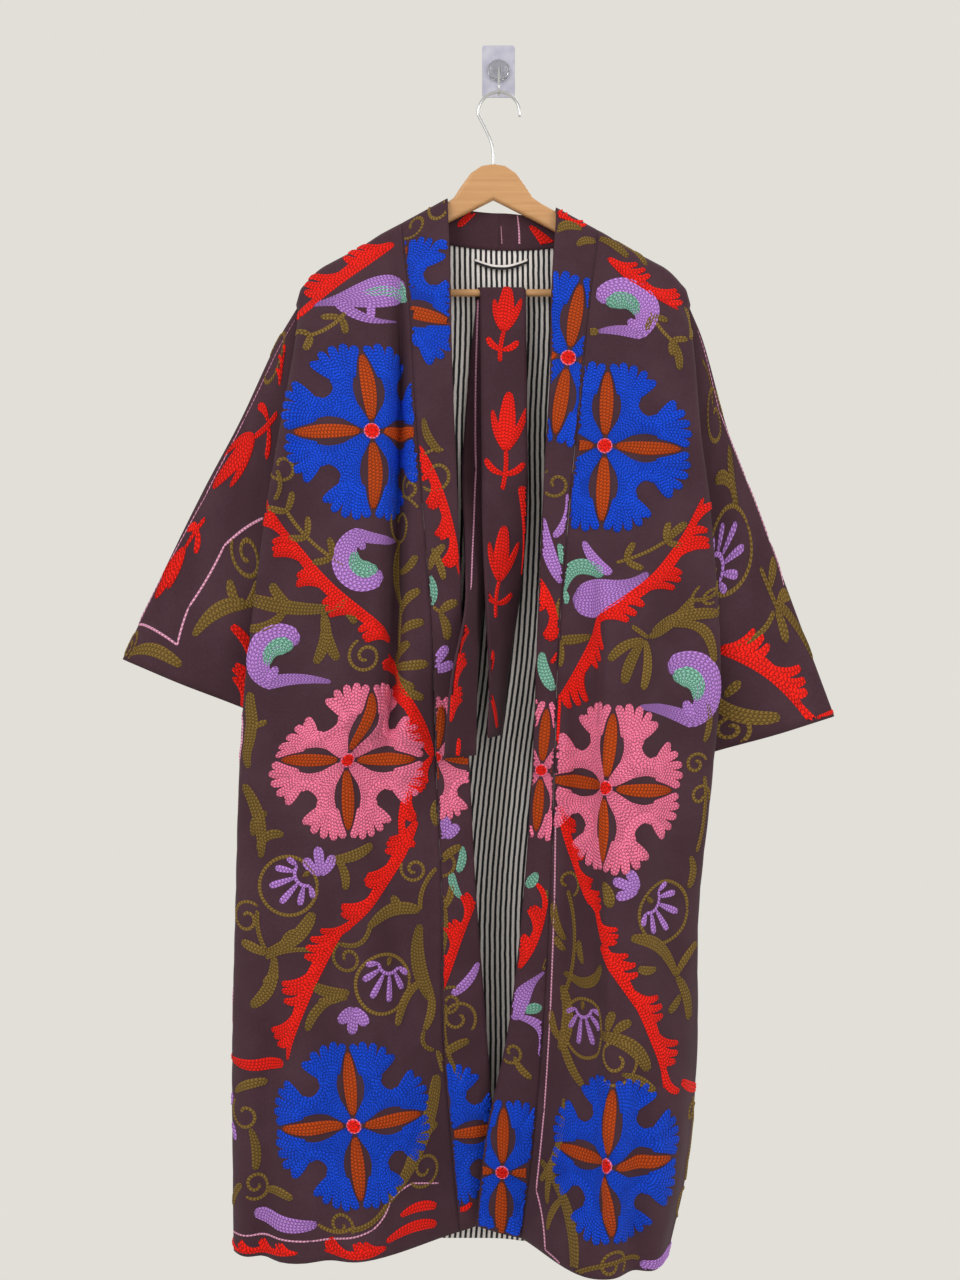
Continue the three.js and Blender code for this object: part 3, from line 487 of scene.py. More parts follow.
def build(name, points, faces, materials, index=None, uv=None, tint=None, smooth_shade=True):
    """One mesh object from whole arrays: points in millimetres, quads or triangles, and values per point."""
    mesh = bpy.data.meshes.new(name)
    mesh.vertices.add(len(points))
    mesh.vertices.foreach_set("co", (np.asarray(points) / 1000).astype(np.float32).ravel())
    corners = faces.ravel()
    mesh.loops.add(len(corners))
    mesh.loops.foreach_set("vertex_index", corners.astype(np.int32))
    mesh.polygons.add(len(faces))
    mesh.polygons.foreach_set("loop_start", np.arange(0, len(corners), faces.shape[1], dtype=np.int32))
    if index is not None:
        mesh.polygons.foreach_set("material_index", index.astype(np.int32))
    if uv is not None:
        layer = mesh.uv_layers.new(name="cloth_mm")
        layer.data.foreach_set("uv", uv[corners].astype(np.float32).ravel())
    if tint is not None:
        layer = mesh.color_attributes.new(name="thread", type="FLOAT_COLOR", domain="POINT")
        layer.data.foreach_set("color", tint.astype(np.float32).ravel())
    for material in materials:
        mesh.materials.append(material)
    mesh.polygons.foreach_set("use_smooth", np.full(len(faces), smooth_shade, dtype=bool))
    mesh.update(calc_edges=True)
    mesh.validate()
    piece = bpy.data.objects.new(name, mesh)
    bpy.context.scene.collection.objects.link(piece)
    return piece


def closed_rings(points):
    """Triangles of rings (n, m, 3) closed at both ends by a pole at each end ring's middle, all facing outwards: the
    enclosed volume, the sum of a . (b x c) / 6, is made positive."""
    n, m = points.shape[:2]
    quads = grid_faces(n, m, ring=True)
    turn = np.arange(m)
    ends = [np.stack([turn * 0 + n * m, (turn + 1) % m, turn], axis=-1),
            np.stack([turn * 0 + n * m + 1, (n - 1) * m + turn, (n - 1) * m + (turn + 1) % m], axis=-1)]
    faces = np.concatenate([quads[:, :3], quads[:, [0, 2, 3]], *ends])
    flat = np.concatenate([points.reshape(-1, 3), points[0].mean(0)[None], points[-1].mean(0)[None]])
    a, b, c = flat[faces].transpose(1, 0, 2)
    return flat, faces if np.sum(a * np.cross(b, c)) > 0 else faces[:, ::-1]


def wall(name, cloth, thick, materials, normal=None, hem=0.0):
    """A closed wall round a cloth's grid: its outer face in the first material and its inner face in the second,
    but for a turned-up hem of the given depth. The rim between them is in the first."""
    n, m = cloth.points.shape[:2]
    cloth.half = thick / 2
    points, ring = cloth.points, cloth.ring
    out = cloth.normal if normal is None else normal
    run, down = cloth.across, cloth.down
    drop = np.broadcast_to(cloth.fall[:, None], (n, m))
    if ring:
        points, out, run, down, drop, m = points[:, :-1], out[:, :-1], run[:, :-1], down[:, :-1], drop[:, :-1], m - 1
    outer = points + out * thick / 2
    inner = points - out * thick / 2
    quads = grid_faces(n, m, ring)
    faces = [quads, quads[:, ::-1] + n * m]
    shade = [np.zeros(len(quads)), np.where(drop.ravel()[quads[:, 2]] > cloth.fall[-1] - hem, 0, 1)]

    def rim(a, b):
        band = np.stack([a[:-1], a[1:], b[1:], b[:-1]], axis=-1)
        faces.append(band)
        shade.append(np.zeros(len(band)))

    ids = np.arange(n * m).reshape(n, m)
    loop = lambda row: np.append(row, row[0]) if ring else row
    rim(loop(ids[0]) + n * m, loop(ids[0]))
    rim(loop(ids[-1]), loop(ids[-1]) + n * m)
    if not ring:
        rim(ids[:, 0], ids[:, 0] + n * m)
        rim(ids[:, -1] + n * m, ids[:, -1])
    faces = np.concatenate(faces)
    if cloth.flip:
        faces = faces[:, ::-1]
    uv = np.stack([run.ravel(), -down.ravel()], axis=-1)
    both = np.concatenate([outer.reshape(-1, 3), inner.reshape(-1, 3)])
    return build(name, both, faces, materials, np.concatenate(shade), np.concatenate([uv, uv]),
                 smooth_shade=np.arange(len(faces)) < 2 * len(quads))


# ------------------------------------------------------------------------------------------------------------
# Embroidery. A stroke is a run of chain-stitch rows side by side along a spine: (spine, widths, rows, thread, level).

def arc(p0, p1, bend, n=24):
    """Points from p0 to p1 along a parabola whose middle is off the chord by bend times its length."""
    t = np.linspace(0, 1, n)
    return p0 + (p1 - p0) * (t - 4j * -bend * t * (1 - t))


def spindle(n, start=0.25, end=0.1, peak=0.45, power=0.8):
    """Widths from start to 1 at the peak and down to end, as shares of the full width."""
    t = np.linspace(0, 1, n)
    rise = start + (1 - start) * np.sin(np.pi / 2 * np.clip(t / peak, 0, 1)) ** power
    fall = end + (1 - end) * np.sin(np.pi / 2 * np.clip((1 - t) / (1 - peak), 0, 1)) ** power
    return np.minimum(rise, fall)


def stroke(spine, width, thread, level=0, shape=None):
    """A stroke with as many rows as fit its width."""
    shape = np.ones(len(spine)) if shape is None else shape
    return spine, width * shape, max(1, int(round(width / ROW))), thread, level


def leaf(p0, p1, bend, width, thread, level=0):
    """A blunt leaf that is narrow where it grows from p0."""
    return [stroke(arc(p0, p1, bend), width, thread, level, spindle(24, 0.4, 0.6, 0.6))]


def vine(p0, p1, bend, width, thread, level=0):
    return [stroke(arc(p0, p1, bend), width, thread, level)]


def barb(p0, p1, bend, width, thread, level=1, side=1):
    """A feathered leaf from its stem at p0 to its tip at p1, with flame-like teeth on its left, in threes."""
    spine = arc(p0, p1, bend, 60)
    strokes = [stroke(spine, 0.52 * width, thread, level, spindle(60, 0.4, 0.2, 0.35))]
    count = max(2, int(round(abs(p1 - p0) / (0.60 * width))))
    for number, t in enumerate(np.linspace(0.02, 0.86, count)):
        i = int(t * 59)
        ahead = (spine[i + 1] - spine[max(i - 1, 0)]) / abs(spine[i + 1] - spine[max(i - 1, 0)])
        size = width * (1.42, 1.1, 0.76)[number % 3] * (0.72 + 0.36 * np.sin(np.pi * (0.15 + 0.75 * t)))
        tip = spine[i] + size * ahead * np.exp(1j * side * (0.60, 0.74, 0.92)[number % 3])
        strokes.append(stroke(arc(spine[i], tip, -0.16 * side, 12), 0.34 * width, thread, level + 1
                              + number % 2,
                              spindle(12, 1.0, 0.62, 0.4)))
    return strokes


def barb_right(p0, p1, bend, width, thread, level=1):
    """A feathered leaf with its teeth on its right."""
    return barb(p0, p1, bend, width, thread, level, -1)


def curl(p0, p1, turns, width, thread, level=0):
    """A tendril that winds from p0 round the centre p1, turn by turn closer to it."""
    t = np.linspace(0, 1, 40)
    spiral = p1 + (p0 - p1) * (1 - 0.82 * t) * np.exp(2j * np.pi * turns * t)
    return [stroke(spiral, width, thread, level, spindle(40, 0.9, 0.7, 0.9))]


def sprig(p0, p1, bend, size, thread, level=0):
    """A stem from p0 to p1 with pairs of blunt leaves that lean forward, the last of them at its tip."""
    spine = arc(p0, p1, bend, 24)
    strokes = [stroke(spine, 5.5, thread, level)]
    for t in np.linspace(0.2, 1, max(2, int(round(abs(p1 - p0) / 38)))):
        i = min(int(t * 23), 22)
        ahead = (spine[i + 1] - spine[i]) / abs(spine[i + 1] - spine[i])
        for turn in (0.8, -0.8):
            tip = spine[i] + size * ahead * np.exp(1j * turn)
            strokes.append(stroke(arc(spine[i], tip, 0.08 * turn, 10), 9.5, thread, level + 1,
                                  spindle(10, 0.7, 0.6, 0.6)))
    return strokes


def plume(p0, p1, bend, width, thread, level=0):
    """A leaf that forks into three blunt fingers on its outer side."""
    spine = arc(p0, p1, bend, 24)
    strokes = leaf(p0, p1, bend, width, thread, level)
    out = 1 if bend > 0 else -1
    for t, long in ((0.28, 1.7), (0.52, 2.1), (0.76, 1.6)):
        i = int(t * 23)
        ahead = (spine[i + 1] - spine[i]) / abs(spine[i + 1] - spine[i])
        tip = spine[i] + width * long * ahead * np.exp(-0.8j * out)
        strokes += leaf(spine[i], arc(spine[i], tip, -0.12 * out)[-1], -0.12 * out, 9.5, thread, level + 1)
    return strokes


def comma(p0, p1, bend, width, thread, level=0):
    """A paisley: a fat comma that grows from a thin tail at p0 and closes in a round head at p1."""
    spine = arc(p0, p1, bend, 36)
    t = np.linspace(0, 1, 36)
    shape = 0.18 + 0.82 * np.sin(np.pi / 2 * np.clip(t / 0.72, 0, 1)) ** 2
    shape = np.where(t > 0.72, np.sqrt(np.clip(1 - ((t - 0.72) / 0.3) ** 2, 0.03, 1)), shape)
    return [stroke(spine, width, thread, level, shape)]


def paisley(p0, p1, turn, width, thread, level=0):
    """A paisley that winds round p1 for just over half a circle, counter-clockwise if turn is 1, and runs out in a
    tail whose tip is p0. A mint leaf fills its inner side, and a short spur stands where the tail leaves."""
    away = (p0 - p1) / abs(p0 - p1)
    radius, last = 0.95 * width, np.angle(-1j * turn * away)
    angle = last + turn * np.linspace(-3.5, 0, 40)
    ring = p1 + radius * np.exp(1j * angle) * np.linspace(0.72, 1.0, 40)
    t = np.linspace(0.04, 1, 16)
    spine = np.concatenate([ring, ring[-1] + (p0 - ring[-1]) * (t + 0.2j * turn * t * (1 - t))])
    share = np.linspace(0, 1, 56)
    shape = np.interp(share, [0, 0.06, 0.25, 0.5, 0.72, 0.9, 1], [0.45, 0.8, 1.05, 0.95, 0.5, 0.32, 0.14])
    inner = p1 + radius * np.linspace(0.40, 0.58, 24) * np.exp(1j
                                                               * (last + turn * np.linspace(-3.5, -0.6, 24)))
    spur = ring[-1] + 0.62 * radius * np.exp(1j * np.angle(p1 - ring[-1]))
    return [stroke(spine, width, thread, level, shape),
            stroke(inner, 0.66 * width, "mint", level + 3, spindle(24, 0.9, 0.25, 0.35)),
            stroke(arc(ring[-1], spur, 0.1 * turn, 10), 0.34 * width, thread, level + 1,
                   spindle(10, 0.9, 0.7, 0.7))]


def tulip(p0, p1, bend, width, thread, level=1):
    """A closed bud with a short petal on each side of its tip, on a stem with two leaflets that grows from p0."""
    way, size = (p1 - p0) / abs(p1 - p0), abs(p1 - p0)
    root = p0 + 0.40 * size * way
    strokes = [stroke(arc(p0, root, bend), 0.2 * width, thread, level)]
    for turn, long, wide in ((0.40, 0.72, 0.34), (-0.36, 0.80, 0.34), (0.03, 1.0, 0.72)):
        tip = root + (p1 - root) * long * np.exp(1j * turn)
        strokes.append(stroke(arc(root, tip, 0.14 * turn, 14), wide * width, thread, level + 1,
                              spindle(14, 0.55, 0.35, 0.42)))
    for turn in (0.95, -0.95):
        tip = p0 + size * way * (0.16 + 0.24 * np.exp(1j * turn))
        strokes += leaf(p0 + 0.16 * size * way, tip, 0.15 * turn, 0.3 * width, thread, level + 1)
    return strokes


def trefoil(p0, p1, bend, width, thread, level=0):
    """Three small petals that open from p0 towards p1."""
    return [stroke(arc(p0, p0 + (p1 - p0) * np.exp(1j * turn) * long, 0.12 * turn, 12), width, thread, level,
                   spindle(12, 0.4, 0.55, 0.75)) for turn, long in ((0.65, 0.9), (0, 1.1), (-0.65, 0.9))]


def seed_ring(p0, p1, bend, width, thread, level=0):
    """A round olive ring about p0 through p1, with a fan of lilac seeds that open from its p1 side."""
    r, turn = abs(p1 - p0), (p1 - p0) / abs(p1 - p0)
    t = np.linspace(0, 2 * np.pi, 60)
    strokes = [stroke(p0 + r * np.exp(1j * t), 5, thread, level)]
    root = p0 + 0.78 * r * turn
    strokes.append(stroke(arc(root + 0.1j * r * turn, root - 0.1j * r * turn, 0), 0.42 * r, thread, level
                          + 2))
    fan = root - turn * r * 0.42 * np.exp(1j * np.linspace(-1.25, 1.25, 20))
    strokes.append(stroke(fan, 5, "lilac", level + 1))
    for angle in np.linspace(-1.25, 1.25, 6):
        way = -turn * np.exp(1j * angle)
        reach = r * (1.50 - 0.50 * abs(angle))
        strokes.append(stroke(arc(root + way * 0.42 * r, root + way * reach, 0, 12), 0.25 * r, "lilac", level
                              + 2,
                              spindle(12, 0.3, 0.75, 0.85)))
    return strokes


def dot(p0, p1, bend, width, thread, level=4):
    """A red spot with a pink ring round it."""
    t = np.linspace(0, 2 * np.pi, 24)
    core = stroke(p0 + 0.55 * abs(p1 - p0) * np.exp(1j * t), 1.1 * abs(p1 - p0), "red", level)
    return [core, stroke(p0 + abs(p1 - p0) * np.exp(1j * t), 2.4, "pink", level + 1)]


def rosette(p0, p1, bend, width, thread, level=0):
    """Four palmettes between the axes through p0, with an almond on each axis. A palmette is a trunk that forks into
    two hands of five fingers, round a notch that their last fingers nearly close. |p1 - p0| is its radius."""
    radius, turn = abs(p1 - p0), (p1 - p0) / abs(p1 - p0)
    strokes = []
    swing = np.linspace(-2.3, 2.3, 36)
    for quarter in range(4):
        axis = turn * 1j**quarter
        diagonal = axis * np.exp(0.25j * np.pi)
        strokes.append(stroke(p0 + arc(0.06 * radius * diagonal, 0.54 * radius * diagonal, 0, 16), 0.36
                              * radius, thread,
                              level, np.linspace(0.2, 1, 16) ** 0.8))
        notch = 0.76 - (0.225 + 0.02 * (swing / 2.3) ** 2) * np.exp(1j * swing)
        strokes.append(stroke(p0 + radius * diagonal * notch, 0.13 * radius, thread, level + 2,
                              spindle(36, 0.75, 0.75, 0.5, 0.6)))
        for side in (1, -1):
            at = lambda angle, far: p0 + radius * axis * far * np.exp(1j * side * angle)
            spine = arc(at(0.6, 0.10), at(0.33, 0.80), 0.13 * side, 32)
            shape = np.interp(np.linspace(0, 1, 32), [0, 0.3, 0.6, 0.85, 1], [0.22, 0.42, 0.58, 0.86, 0.90])
            strokes.append(stroke(spine, 0.33 * radius, thread, level + 1, shape))
            for number, (angle, far) in enumerate(((0.05, 0.98), (0.17, 1.02), (0.305, 1.03), (0.45, 1.02),
                                                   (0.61, 0.98))):
                strokes.append(stroke(arc(at(0.24 + 0.3 * angle, 0.62), at(angle, far), 0.05 * side, 16),
                                      0.108 * radius,
                                      thread, level + 2 + number % 2, spindle(16, 0.9, 0.70, 0.8)))
        spine = p0 + arc(0.13 * radius * axis, 0.88 * radius * axis, 0.0, 24)
        strokes.append(stroke(spine, 0.165 * radius, "rust", level + 4, spindle(24, 0.35, 0.22, 0.5, 0.7)))
    return strokes + dot(p0, p0 + 0.08 * radius, 0, 0, "red", level + 5)


MOTIFS = {f.__name__: f for f in (leaf, vine, barb, barb_right, curl, sprig, plume, comma, paisley, tulip,
                                  trefoil,
                                  seed_ring, dot, rosette)}


# places round the end of a row, as shares of half its width
CAP = 1 - np.cos(np.linspace(0, np.pi / 2, 4))[:3]


def embroider(name, cloth, strokes, material, settings, side=1):
    """One mesh of chain-stitch rows. Across a stroke each row is a half sine, raised from the cloth; the stroke's rim
    and ends sink into it. The map's first value counts stitches along and its second counts rows across."""
    rng = np.random.default_rng(settings.seed + len(strokes))
    colours = thread_colours()
    flat, lift, uv, tint, faces, start = [], [], [], [], [], 0
    for spine, widths, rows, thread, level in strokes:
        length = np.concatenate([[0], np.cumsum(np.abs(np.diff(spine)))])
        bends = np.abs(np.angle(np.diff(spine)[1:] / np.diff(spine)[:-1])).sum()
        count = max(4, int(length[-1] / settings.step + bends / 0.3) + 1)
        at, bow = np.linspace(0, length[-1], count), 0.5 * widths[[0, -1]]
        closed = abs(spine[0] - spine[-1]) < 1
        if not closed:
            at = np.concatenate([bow[0] * CAP, at[(at > 1.05 * bow[0]) & (at < length[-1] - 1.05 * bow[1])],
                                 length[-1] - bow[1] * CAP[::-1]])
            at = np.unique(np.clip(at, 0, length[-1]))
            count = len(at)
        line = np.interp(at, length, spine.real) + 1j * np.interp(at, length, spine.imag)
        wide = np.interp(at, length, widths)
        if not closed:
            reach = np.minimum(at / max(bow[0], 0.1), (length[-1] - at) / max(bow[1], 0.1))
            wide = wide * np.maximum(0.12, np.sqrt(1 - (1 - np.clip(reach, 0, 1)) ** 2))
        way = np.gradient(line, at)
        way /= np.maximum(np.abs(way), 1e-9)
        cross = np.linspace(-1, 1, 2 * rows + 1)
        rib = np.abs(np.sin(np.pi * rows * (cross + 1) / 2)) ** 0.7
        place = line[:, None] + 1j * way[:, None] * wide[:, None] / 2 * cross[None, :]
        fine = np.minimum(1, wide / (rows * 3.0))[:, None]
        end = np.minimum(1, np.minimum(at, at[-1] - at) / 1.5)[:, None]
        high = level * 0.22 + settings.relief * fine * (0.42 + 0.58 * rib)[None, :]
        high = high * (0.25 + 0.75 * end)
        high[:, [0, -1]] = -0.3
        high[[0, -1], :] = np.minimum(high[[0, -1], :], 0.1)
        shade = np.array([*colours[thread], 1.0]) * np.array([*(3 * [1 + rng.normal(0, 0.05)]), 1])
        keep = cloth.inside(place, settings.margin)
        quads = grid_faces(count, len(cross))
        quads = quads[keep.ravel()[quads].all(axis=1)]
        flat.append(place.ravel())
        lift.append(high.ravel())
        uv.append(np.stack(np.broadcast_arrays(at[:, None] / settings.stitch + rng.random(),
                                               (cross[None, :] + 1) * rows / 2), axis=-1).reshape(-1, 2))
        tint.append(np.broadcast_to(shade, (place.size, 4)))
        faces.append(quads + start)
        start += place.size
    flat, lift, faces = np.concatenate(flat), np.concatenate(lift), np.concatenate(faces)
    points = cloth.read(flat, side * (lift + cloth.half))
    used, faces = np.unique(faces, return_inverse=True)
    faces = faces.reshape(-1, 4)
    if cloth.sign * side > 0:
        faces = faces[:, ::-1]
    return build(name, points[used], faces, [material], uv=np.concatenate(uv)[used],
                 tint=np.concatenate(tint)[used])


# The embroidery's chart. Each row is a motif, where it starts and ends as seen from in front (a round motif's
# centre, and its radius as a vector), its bend, its width in millimetres and its thread. Places count the
# chart's steps, from its upper left corner to the right and down.
CHART_STEP, CHART_CORNER = 1.2, (-599.6, 43.8)  # millimetres, on the plane y = PLANE_Y
MOTIF_COLUMNS = ("motif", "x0", "y0", "x1", "y1", "bend", "width", "thread")
EMBROIDERY = {
    "right_front": [
        ("barb_right", 394, 244, 302, 316, -0.05, 34, "red"),
        ("comma", 313, 305, 405, 284, -0.04, 42, "lilac"), ("comma", 396, 322, 334, 298, 0.2, 15, "lilac"),
        ("leaf", 370, 322, 371, 304, 0.0, 10, "lilac"), ("leaf", 363, 295, 408, 300, 0.12, 17, "mint"),
        ("leaf", 396, 280, 404, 300, 0.1, 12, "mint"), ("sprig", 346, 312, 308, 336, 0.08, 22, "olive"),
        ("rosette", 371, 431, 90, 0, 0, 0, "blue"), ("curl", 276, 448, 282, 466, 1.2, 5, "olive"),
        ("vine", 276, 470, 274, 500, 0.12, 6, "olive"), ("sprig", 343, 566, 284, 508, 0.06, 25, "olive"),
        ("barb", 388, 642, 266, 498, 0.06, 30, "red"), ("paisley", 394, 541, 367, 558, -1, 33, "lilac"),
        ("curl", 420, 478, 409, 488, 1.4, 5, "olive"), ("curl", 418, 508, 402, 524, 1.4, 5, "olive"),
        ("leaf", 402, 606, 400, 540, 0.14, 13, "olive"), ("leaf", 400, 572, 416, 555, -0.2, 11, "olive"),
        ("vine", 402, 600, 400, 650, 0, 6, "olive"), ("leaf", 402, 614, 420, 590, 0.1, 12, "olive"),
        ("leaf", 402, 634, 424, 622, 0.1, 12, "olive"), ("trefoil", 394, 668, 424, 664, 0, 13, "olive"),
        ("leaf", 394, 668, 424, 698, -0.1, 13, "olive"), ("leaf", 336, 608, 250, 594, 0.06, 18, "olive"),
        ("leaf", 292, 606, 271, 583, 0.1, 13, "olive"), ("leaf", 288, 603, 248, 627, 0.2, 12, "olive"),
        ("leaf", 322, 612, 353, 624, 0.35, 13, "olive"), ("leaf", 322, 612, 314, 664, 0.1, 15, "olive"),
        ("leaf", 323, 612, 337, 660, -0.1, 14, "olive"), ("vine", 333, 608, 348, 598, 0, 6, "olive"),
        ("curl", 258, 548, 254, 562, 1.2, 5, "olive"), ("curl", 357, 640, 364, 656, 1.5, 5, "olive"),
        ("paisley", 330, 682, 282, 658, 1, 34, "lilac"), ("leaf", 249, 768, 250, 692, 0.08, 15, "olive"),
        ("leaf", 250, 730, 267, 722, 0.1, 9, "olive"), ("rosette", 347, 760, 79, 0, 0, 0, "pink"),
        ("barb", 432, 757, 387, 654, -0.06, 30, "red"), ("barb", 432, 757, 402, 846, -0.12, 24, "red"),
        ("barb_right", 416, 820, 336, 938, 0.06, 30, "red"),
        ("barb_right", 344, 926, 288, 1060, -0.08, 32, "red"),
        ("leaf", 261, 858, 244, 784, -0.08, 15, "olive"), ("leaf", 254, 836, 267, 812, 0.2, 12, "olive"),
        ("leaf", 258, 850, 284, 835, 0.25, 12, "olive"), ("seed_ring", 288, 886, 24, -16, 0, 0, "olive"),
        ("trefoil", 321, 875, 318, 849, 0, 13, "lilac"), ("leaf", 326, 860, 372, 844, -0.08, 14, "olive"),
        ("leaf", 336, 858, 345, 890, 0.12, 11, "olive"), ("curl", 258, 906, 247, 918, 1.3, 5, "olive"),
        ("vine", 258, 910, 266, 950, -0.1, 6, "olive"), ("leaf", 268, 954, 242, 941, 0, 13, "olive"),
        ("leaf", 266, 952, 313, 912, -0.12, 17, "olive"), ("leaf", 282, 946, 297, 931, 0.1, 11, "olive"),
        ("vine", 266, 958, 314, 950, 0.08, 6, "olive"), ("leaf", 274, 956, 251, 1006, 0.15, 16, "olive"),
        ("leaf", 264, 984, 279, 978, 0.2, 10, "olive"), ("seed_ring", 384, 984, 9, -28, 0, 0, "olive"),
        ("trefoil", 354, 1008, 352, 1032, 0, 14, "lilac"), ("leaf", 350, 992, 311, 984, 0.12, 14, "olive"),
        ("leaf", 348, 998, 307, 1031, -0.22, 13, "olive"), ("leaf", 346, 996, 318, 1000, 0.1, 10, "olive"),
        ("curl", 341, 942, 348, 958, 1.3, 5, "olive"), ("vine", 340, 944, 370, 926, -0.25, 6, "olive"),
        ("leaf", 368, 928, 420, 910, 0.14, 17, "olive"), ("leaf", 396, 914, 391, 896, -0.15, 12, "olive"),
        ("vine", 420, 910, 436, 868, 0.12, 6, "olive"), ("curl", 402, 862, 414, 869, 1.4, 5, "olive"),
        ("leaf", 436, 826, 437, 800, 0.1, 11, "olive"), ("leaf", 420, 924, 432, 1000, -0.1, 19, "olive"),
        ("leaf", 424, 980, 397, 1026, -0.12, 13, "olive"), ("leaf", 428, 985, 424, 1030, 0.12, 11, "olive"),
        ("vine", 424, 1030, 434, 1050, -0.3, 6, "olive"), ("leaf", 436, 1050, 443, 1072, 0.05, 10, "olive"),
        ("rosette", 354, 1126, 82, -2, 0, 0, "blue"), ("leaf", 228, 1058, 284, 1063, -0.05, 15, "red"),
        ("leaf", 234, 1059, 228, 1044, 0.1, 10, "red"), ("leaf", 236, 1092, 268, 1081, 0.12, 12, "olive"),
        ("curl", 236, 1098, 245, 1114, 1.1, 5, "olive"), ("leaf", 250, 1128, 255, 1170, 0.08, 12, "olive"),
        ("curl", 246, 1196, 256, 1184, 1.4, 5, "olive"), ("leaf", 266, 1190, 293, 1199, 0.12, 12, "olive"),
        ("leaf", 234, 1206, 242, 1184, 0.1, 10, "olive"), ("leaf", 317, 1224, 254, 1212, 0.04, 20, "lilac"),
        ("vine", 318, 1224, 352, 1228, -0.2, 5, "olive"), ("curl", 352, 1234, 341, 1225, 1.2, 5, "olive"),
        ("vine", 350, 1230, 388, 1202, -0.12, 7, "olive"), ("leaf", 386, 1204, 436, 1074, -0.1, 20, "olive"),
        ("leaf", 404, 1172, 437, 1122, 0.08, 13, "olive"), ("curl", 410, 1182, 424, 1168, 1.4, 5, "olive"),
        ("leaf", 228, 1092, 230, 1106, 0.1, 8, "lilac"), ("leaf", 228, 1122, 236, 1140, 0.1, 8, "lilac"),
        ("vine", 240, 640, 236, 760, 0.0, 2.6, "rose"), ("vine", 236, 760, 234, 900, 0, 2.6, "rose"),
        ("vine", 234, 900, 233, 1024, 0, 2.6, "rose"), ("vine", 231, 1231, 310, 1241, 0.02, 2.6, "rose"),
        ("vine", 310, 1241, 372, 1230, -0.05, 2.6, "rose"), ("vine", 372, 1230, 390, 1200, -0.1, 2.6, "rose"),
        ("vine", 390, 1200, 412, 1183, 0.06, 2.6, "rose"), ("vine", 412, 1183, 438, 1183, 0.0, 2.6, "rose"),
        ("barb_right", 298, 1253, 234, 1247, 0.0, 16, "red"),
        ("barb_right", 386, 1247, 324, 1250, 0.05, 22, "red"), ("leaf", 386, 1242, 436, 1224, 0.1, 14, "red"),
        ("leaf", 400, 1216, 436, 1206, 0.1, 13, "red"),
    ],
    "right_neckband": [
        ("curl", 402, 238, 414, 226, 1.0, 5, "olive"), ("curl", 424, 196, 442, 206, 0.8, 5, "olive"),
        ("leaf", 432, 250, 448, 249, 0.3, 13, "blue"), ("rosette", 383, 306, 81, 24, 0, 0, "blue"),
        ("leaf", 424, 418, 441, 452, -0.12, 11, "olive"), ("curl", 444, 450, 436, 474, 1.3, 5, "olive"),
        ("barb_right", 419, 446, 460, 577, 0.04, 24, "red"), ("leaf", 430, 570, 445, 545, 0.1, 11, "olive"),
        ("leaf", 432, 548, 444, 580, 0.05, 10, "olive"), ("leaf", 425, 572, 430, 606, 0.14, 14, "mint"),
        ("vine", 430, 604, 441, 613, 0, 5, "olive"), ("leaf", 440, 613, 458, 602, 0.1, 12, "olive"),
        ("leaf", 440, 613, 447, 640, 0.1, 12, "olive"), ("trefoil", 431, 670, 446, 648, 0, 13, "lilac"),
        ("leaf", 444, 700, 434, 712, 0.1, 13, "pink"), ("rosette", 437, 757, 62, 6, 0, 0, "pink"),
        ("trefoil", 446, 838, 446, 818, 0, 14, "lilac"), ("curl", 430, 850, 444, 862, 1.2, 5, "olive"),
        ("leaf", 440, 864, 462, 846, 0.1, 11, "olive"), ("leaf", 462, 846, 458, 872, 0.1, 11, "mint"),
        ("leaf", 462, 898, 452, 872, 0.1, 11, "mint"), ("vine", 436, 880, 440, 960, 0.1, 6, "olive"),
        ("leaf", 442, 910, 452, 884, -0.1, 10, "olive"), ("barb", 442, 990, 477, 898, 0.04, 24, "red"),
        ("leaf", 478, 962, 452, 994, 0.1, 13, "lilac"), ("curl", 462, 990, 450, 1002, 1.4, 5, "olive"),
        ("curl", 472, 1030, 458, 1018, 1.3, 5, "olive"), ("vine", 446, 1004, 462, 1080, -0.1, 6, "olive"),
        ("leaf", 440, 1060, 470, 1040, 0.1, 12, "olive"), ("rosette", 440, 1135, 76, -4, 0, 0, "blue"),
        ("barb", 430, 1196, 468, 1210, -0.1, 16, "red"), ("vine", 440, 1184, 470, 1187, 0.04, 2.6, "rose"),
    ],
    "left_front": [
        ("leaf", 596, 238, 628, 258, 0.1, 11, "olive"), ("leaf", 620, 232, 646, 266, 0.1, 9, "olive"),
        ("barb", 608, 258, 678, 310, -0.02, 28, "red"), ("paisley", 598, 332, 620, 313, -1, 37, "lilac"),
        ("leaf", 586, 332, 599, 332, 0, 11, "olive"), ("sprig", 649, 311, 673, 342, -0.06, 20, "olive"),
        ("leaf", 672, 340, 679, 370, 0.08, 11, "olive"), ("leaf", 684, 306, 690, 340, 0.1, 9, "olive"),
        ("rosette", 605, 446, 87, 4, 0, 0, "blue"), ("sprig", 616, 563, 668, 540, -0.04, 24, "olive"),
        ("leaf", 667, 541, 687, 523, 0.05, 11, "olive"), ("comma", 648, 573, 573, 598, 0.13, 50, "lilac"),
        ("leaf", 584, 541, 612, 574, -0.1, 14, "lilac"), ("leaf", 562, 594, 604, 576, 0.42, 21, "mint"),
        ("leaf", 560, 588, 566, 604, 0.1, 12, "mint"), ("barb_right", 598, 622, 703, 498, -0.09, 32, "red"),
        ("barb", 600, 616, 557, 702, 0.05, 31, "red"), ("vine", 559, 694, 556, 750, 0.0, 8, "red"),
        ("leaf", 592, 636, 558, 640, 0.04, 13, "olive"), ("leaf", 561, 640, 560, 667, 0.05, 9, "olive"),
